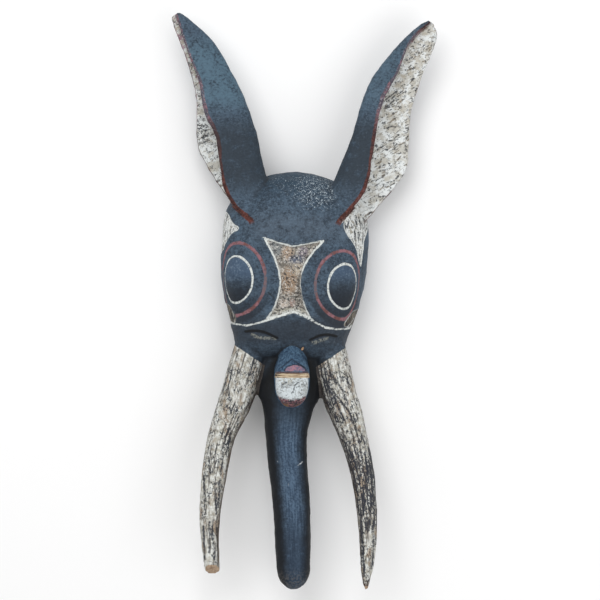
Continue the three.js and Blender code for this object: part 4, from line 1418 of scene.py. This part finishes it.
def tusk_paint(paint, color):
    """White paint worn to dark wood in a net of cracks that follow the grain, with brown stains."""
    place, grain, edge = paint.place, paint.grain, paint.edge
    on_tusk = (paint["tusk"] + edge * 0.8).step(-0.4, 0.6)
    inner = paint["tusk_inner"]
    right = paint.across.step(-18, -12)
    white = paint.blend((0.70, 0.71, 0.68), (0.44, 0.425, 0.37),
                        paint.noise(place, 6, 4, 0.65, 91).step(0.42, 0.6))
    stains = paint.noise(paint.scaled(place, (1, 0.5, 1)), 13, 3, 0.6, 99).step(0.52, 0.66)
    white = white.under((0.30, 0.205, 0.125), stains * 0.7)
    worn_rows = right * paint.between(430, 545, 40)
    heavy = (inner.step(-0.1, 0.9) * (right * 0.5 + 0.3)).most(worn_rows * 1.1)
    streak = paint.noise(paint.scaled(grain, (1, 1, 0.05)), 2.5, 4, 0.7, 93)
    wander = paint.noise(grain, 3.5, 2, 0.5, 94)
    net = paint.cracks(paint.pushed(paint.scaled(grain, (1, 1, 0.45)), wander, 3.4), 3.4)
    patches = paint.noise(place, 17, 3, 0.6, 97)
    width = (patches - 0.5) * 2.0 + heavy * 0.42 + 0.10
    cracks = (net - width).step(0.22, -0.10) * paint.fleck.step(0.40, 0.52)
    gouged = (streak + (patches - 0.5) * 0.26 + heavy * 0.10).step(0.585, 0.62)
    split = (paint["split"] + edge * 1.6).step(2.2, 1.0) * (streak * 0.5 + paint.fleck * 0.5).step(0.40, 0.50)
    brown = (streak + heavy * 0.06).step(0.49, 0.56) * (0.4 + heavy * 0.3)
    white = white.under((0.19, 0.15, 0.11), brown)
    dark = cracks.most(gouged).most(split)
    white = white.under((0.018, 0.023, 0.036), dark * 0.94)
    tip = right * paint.rows(574, 588)
    white = white.under((0.085, 0.050, 0.032), tip * paint.fleck.step(0.34, 0.5) * 0.9)
    side_wood = inner.step(0.72, 1.0) * (1 - right * 0.4)
    white = white.under((0.075, 0.050, 0.032), side_wood * 0.7)
    white = white.under((0.05, 0.045, 0.045), paint["fine"].step(-0.05, -0.30) * 0.7)
    paint.raised = paint.raised - dark * on_tusk * 0.6
    return color.under(white, on_tusk)


def bare_wood(paint, color):
    """Wood without paint: in the mouth, on the broken tusk, at the nicks, on the rim and in the hollow."""
    growth = paint.noise(paint.scaled(paint.place, (1, 0.05, 1)), 2.2, 4, 0.6, 103)
    wood = paint.blend((0.50, 0.37, 0.26), (0.30, 0.20, 0.13), growth.step(0.42, 0.62))
    handled = wood.under((0.10, 0.07, 0.048), (paint.patchy + paint.wide * 0.6).step(0.55, 0.95) * 0.7)
    wood = wood.under(handled, paint["head"].step(-4, -9))
    bare = (paint["bare"] + paint.edge * 0.5).step(-0.2, 0.4)
    color = color.under(wood, bare)

    layers = paint.noise(paint.scaled(paint.place, (0.12, 1.6, 1)), 2.4, 3, 0.6, 105)
    mouth_wood = paint.blend((0.52, 0.42, 0.29), (0.20, 0.115, 0.06), layers.step(0.46, 0.60))
    mouth_wood = mouth_wood.under((0.035, 0.022, 0.018), paint.across.step(-32, -41) * layers.step(0.4, 0.55))
    mouth = (paint.lip_up + paint.edge * 0.4).step(3.6, 3.0) * paint.lip_up.step(-3.6, -3.0)
    mouth = mouth * paint.forward.step(132, 138) * paint["muzzle_on"].step(-0.5, 0.5)
    color = color.under(mouth_wood, mouth)
    nick = (paint["nick"] + paint.edge * 0.5).step(1.9, 1.0) * paint.forward.step(55, 65)
    color = color.under((0.50, 0.31, 0.18), nick)
    scuff = (paint["scuff"] + paint.edge * 0.9).step(1.1, 0.4) * paint.forward.step(55, 65)
    return color.under((0.50, 0.54, 0.57), scuff * 0.85)


def painted_wood():
    paint = MaskPaint()
    color = black_paint(paint)
    for finish in (trunk_paint, muzzle_paint, lip_paint, palate_paint, eye_paint, ground_paint, slit_paint,
                   ear_paint, ear_rim_paint, tusk_paint, bare_wood):
        color = finish(paint, color)
    roughness = 0.62 + paint.patchy * 0.18 + paint["tusk"].step(-0.4, 0.6) * 0.08
    height = paint.raised + paint.speck * 0.25 + paint.fleck * 0.35
    paint.shader.inputs["Specular IOR Level"].default_value = 0.25
    return paint.finish(color, roughness, height, 0.8)


mask = carve()
dress(mask)
mask.data.materials.clear()
mask.data.materials.append(painted_wood())
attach(mask, "root")
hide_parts("carved_mask")


def make_stage():
    bpy.ops.mesh.primitive_plane_add(size=8)
    floor = bpy.context.object
    floor.name = "floor"
    paint = bpy.data.materials.new("pale_floor")
    paint.use_nodes = True
    paint.node_tree.nodes["Principled BSDF"].inputs["Base Color"].default_value = (0.93, 0.93, 0.93, 1)
    paint.node_tree.nodes["Principled BSDF"].inputs["Roughness"].default_value = 0.9
    floor.data.materials.append(paint)


def area_light(name, place, target, size, power):
    data = bpy.data.lights.new(name, "AREA")
    data.size = size
    data.energy = power
    lamp = bpy.data.objects.new(name, data)
    lamp.location = place
    lamp.rotation_euler = (Vector(target) - Vector(place)).to_track_quat("-Z", "Y").to_euler()
    bpy.context.scene.collection.objects.link(lamp)


def make_lights():
    area_light("key", (-0.6, 1.3, 2.3), (0, 0, 0.05), 2.0, 38)
    area_light("fill", (1.2, -0.6, 2.0), (0, 0, 0.05), 1.8, 15)
    world = bpy.data.worlds.new("studio")
    world.use_nodes = True
    world.node_tree.nodes["Background"].inputs["Color"].default_value = (1, 1, 1, 1)
    world.node_tree.nodes["Background"].inputs["Strength"].default_value = 0.58
    bpy.context.scene.world = world


def make_camera():
    """Straight above the mask, from so far off that it is seen nearly without perspective."""
    data = bpy.data.cameras.new("camera")
    data.sensor_fit = "HORIZONTAL"
    data.angle = 2 * math.atan(VIEW_WIDTH / 2 / VIEW_REACH)
    camera = bpy.data.objects.new("camera", data)
    camera.location = (VIEW_MIDDLE[0] - OUTLINE_MIDDLE[0] * MILLIMETRE,
                       VIEW_MIDDLE[1] - OUTLINE_MIDDLE[1] * MILLIMETRE, VIEW_REACH + VIEW_LEVEL)
    bpy.context.scene.collection.objects.link(camera)
    bpy.context.scene.camera = camera


make_stage()
make_lights()
make_camera()
bpy.context.scene.view_settings.view_transform = "Standard"
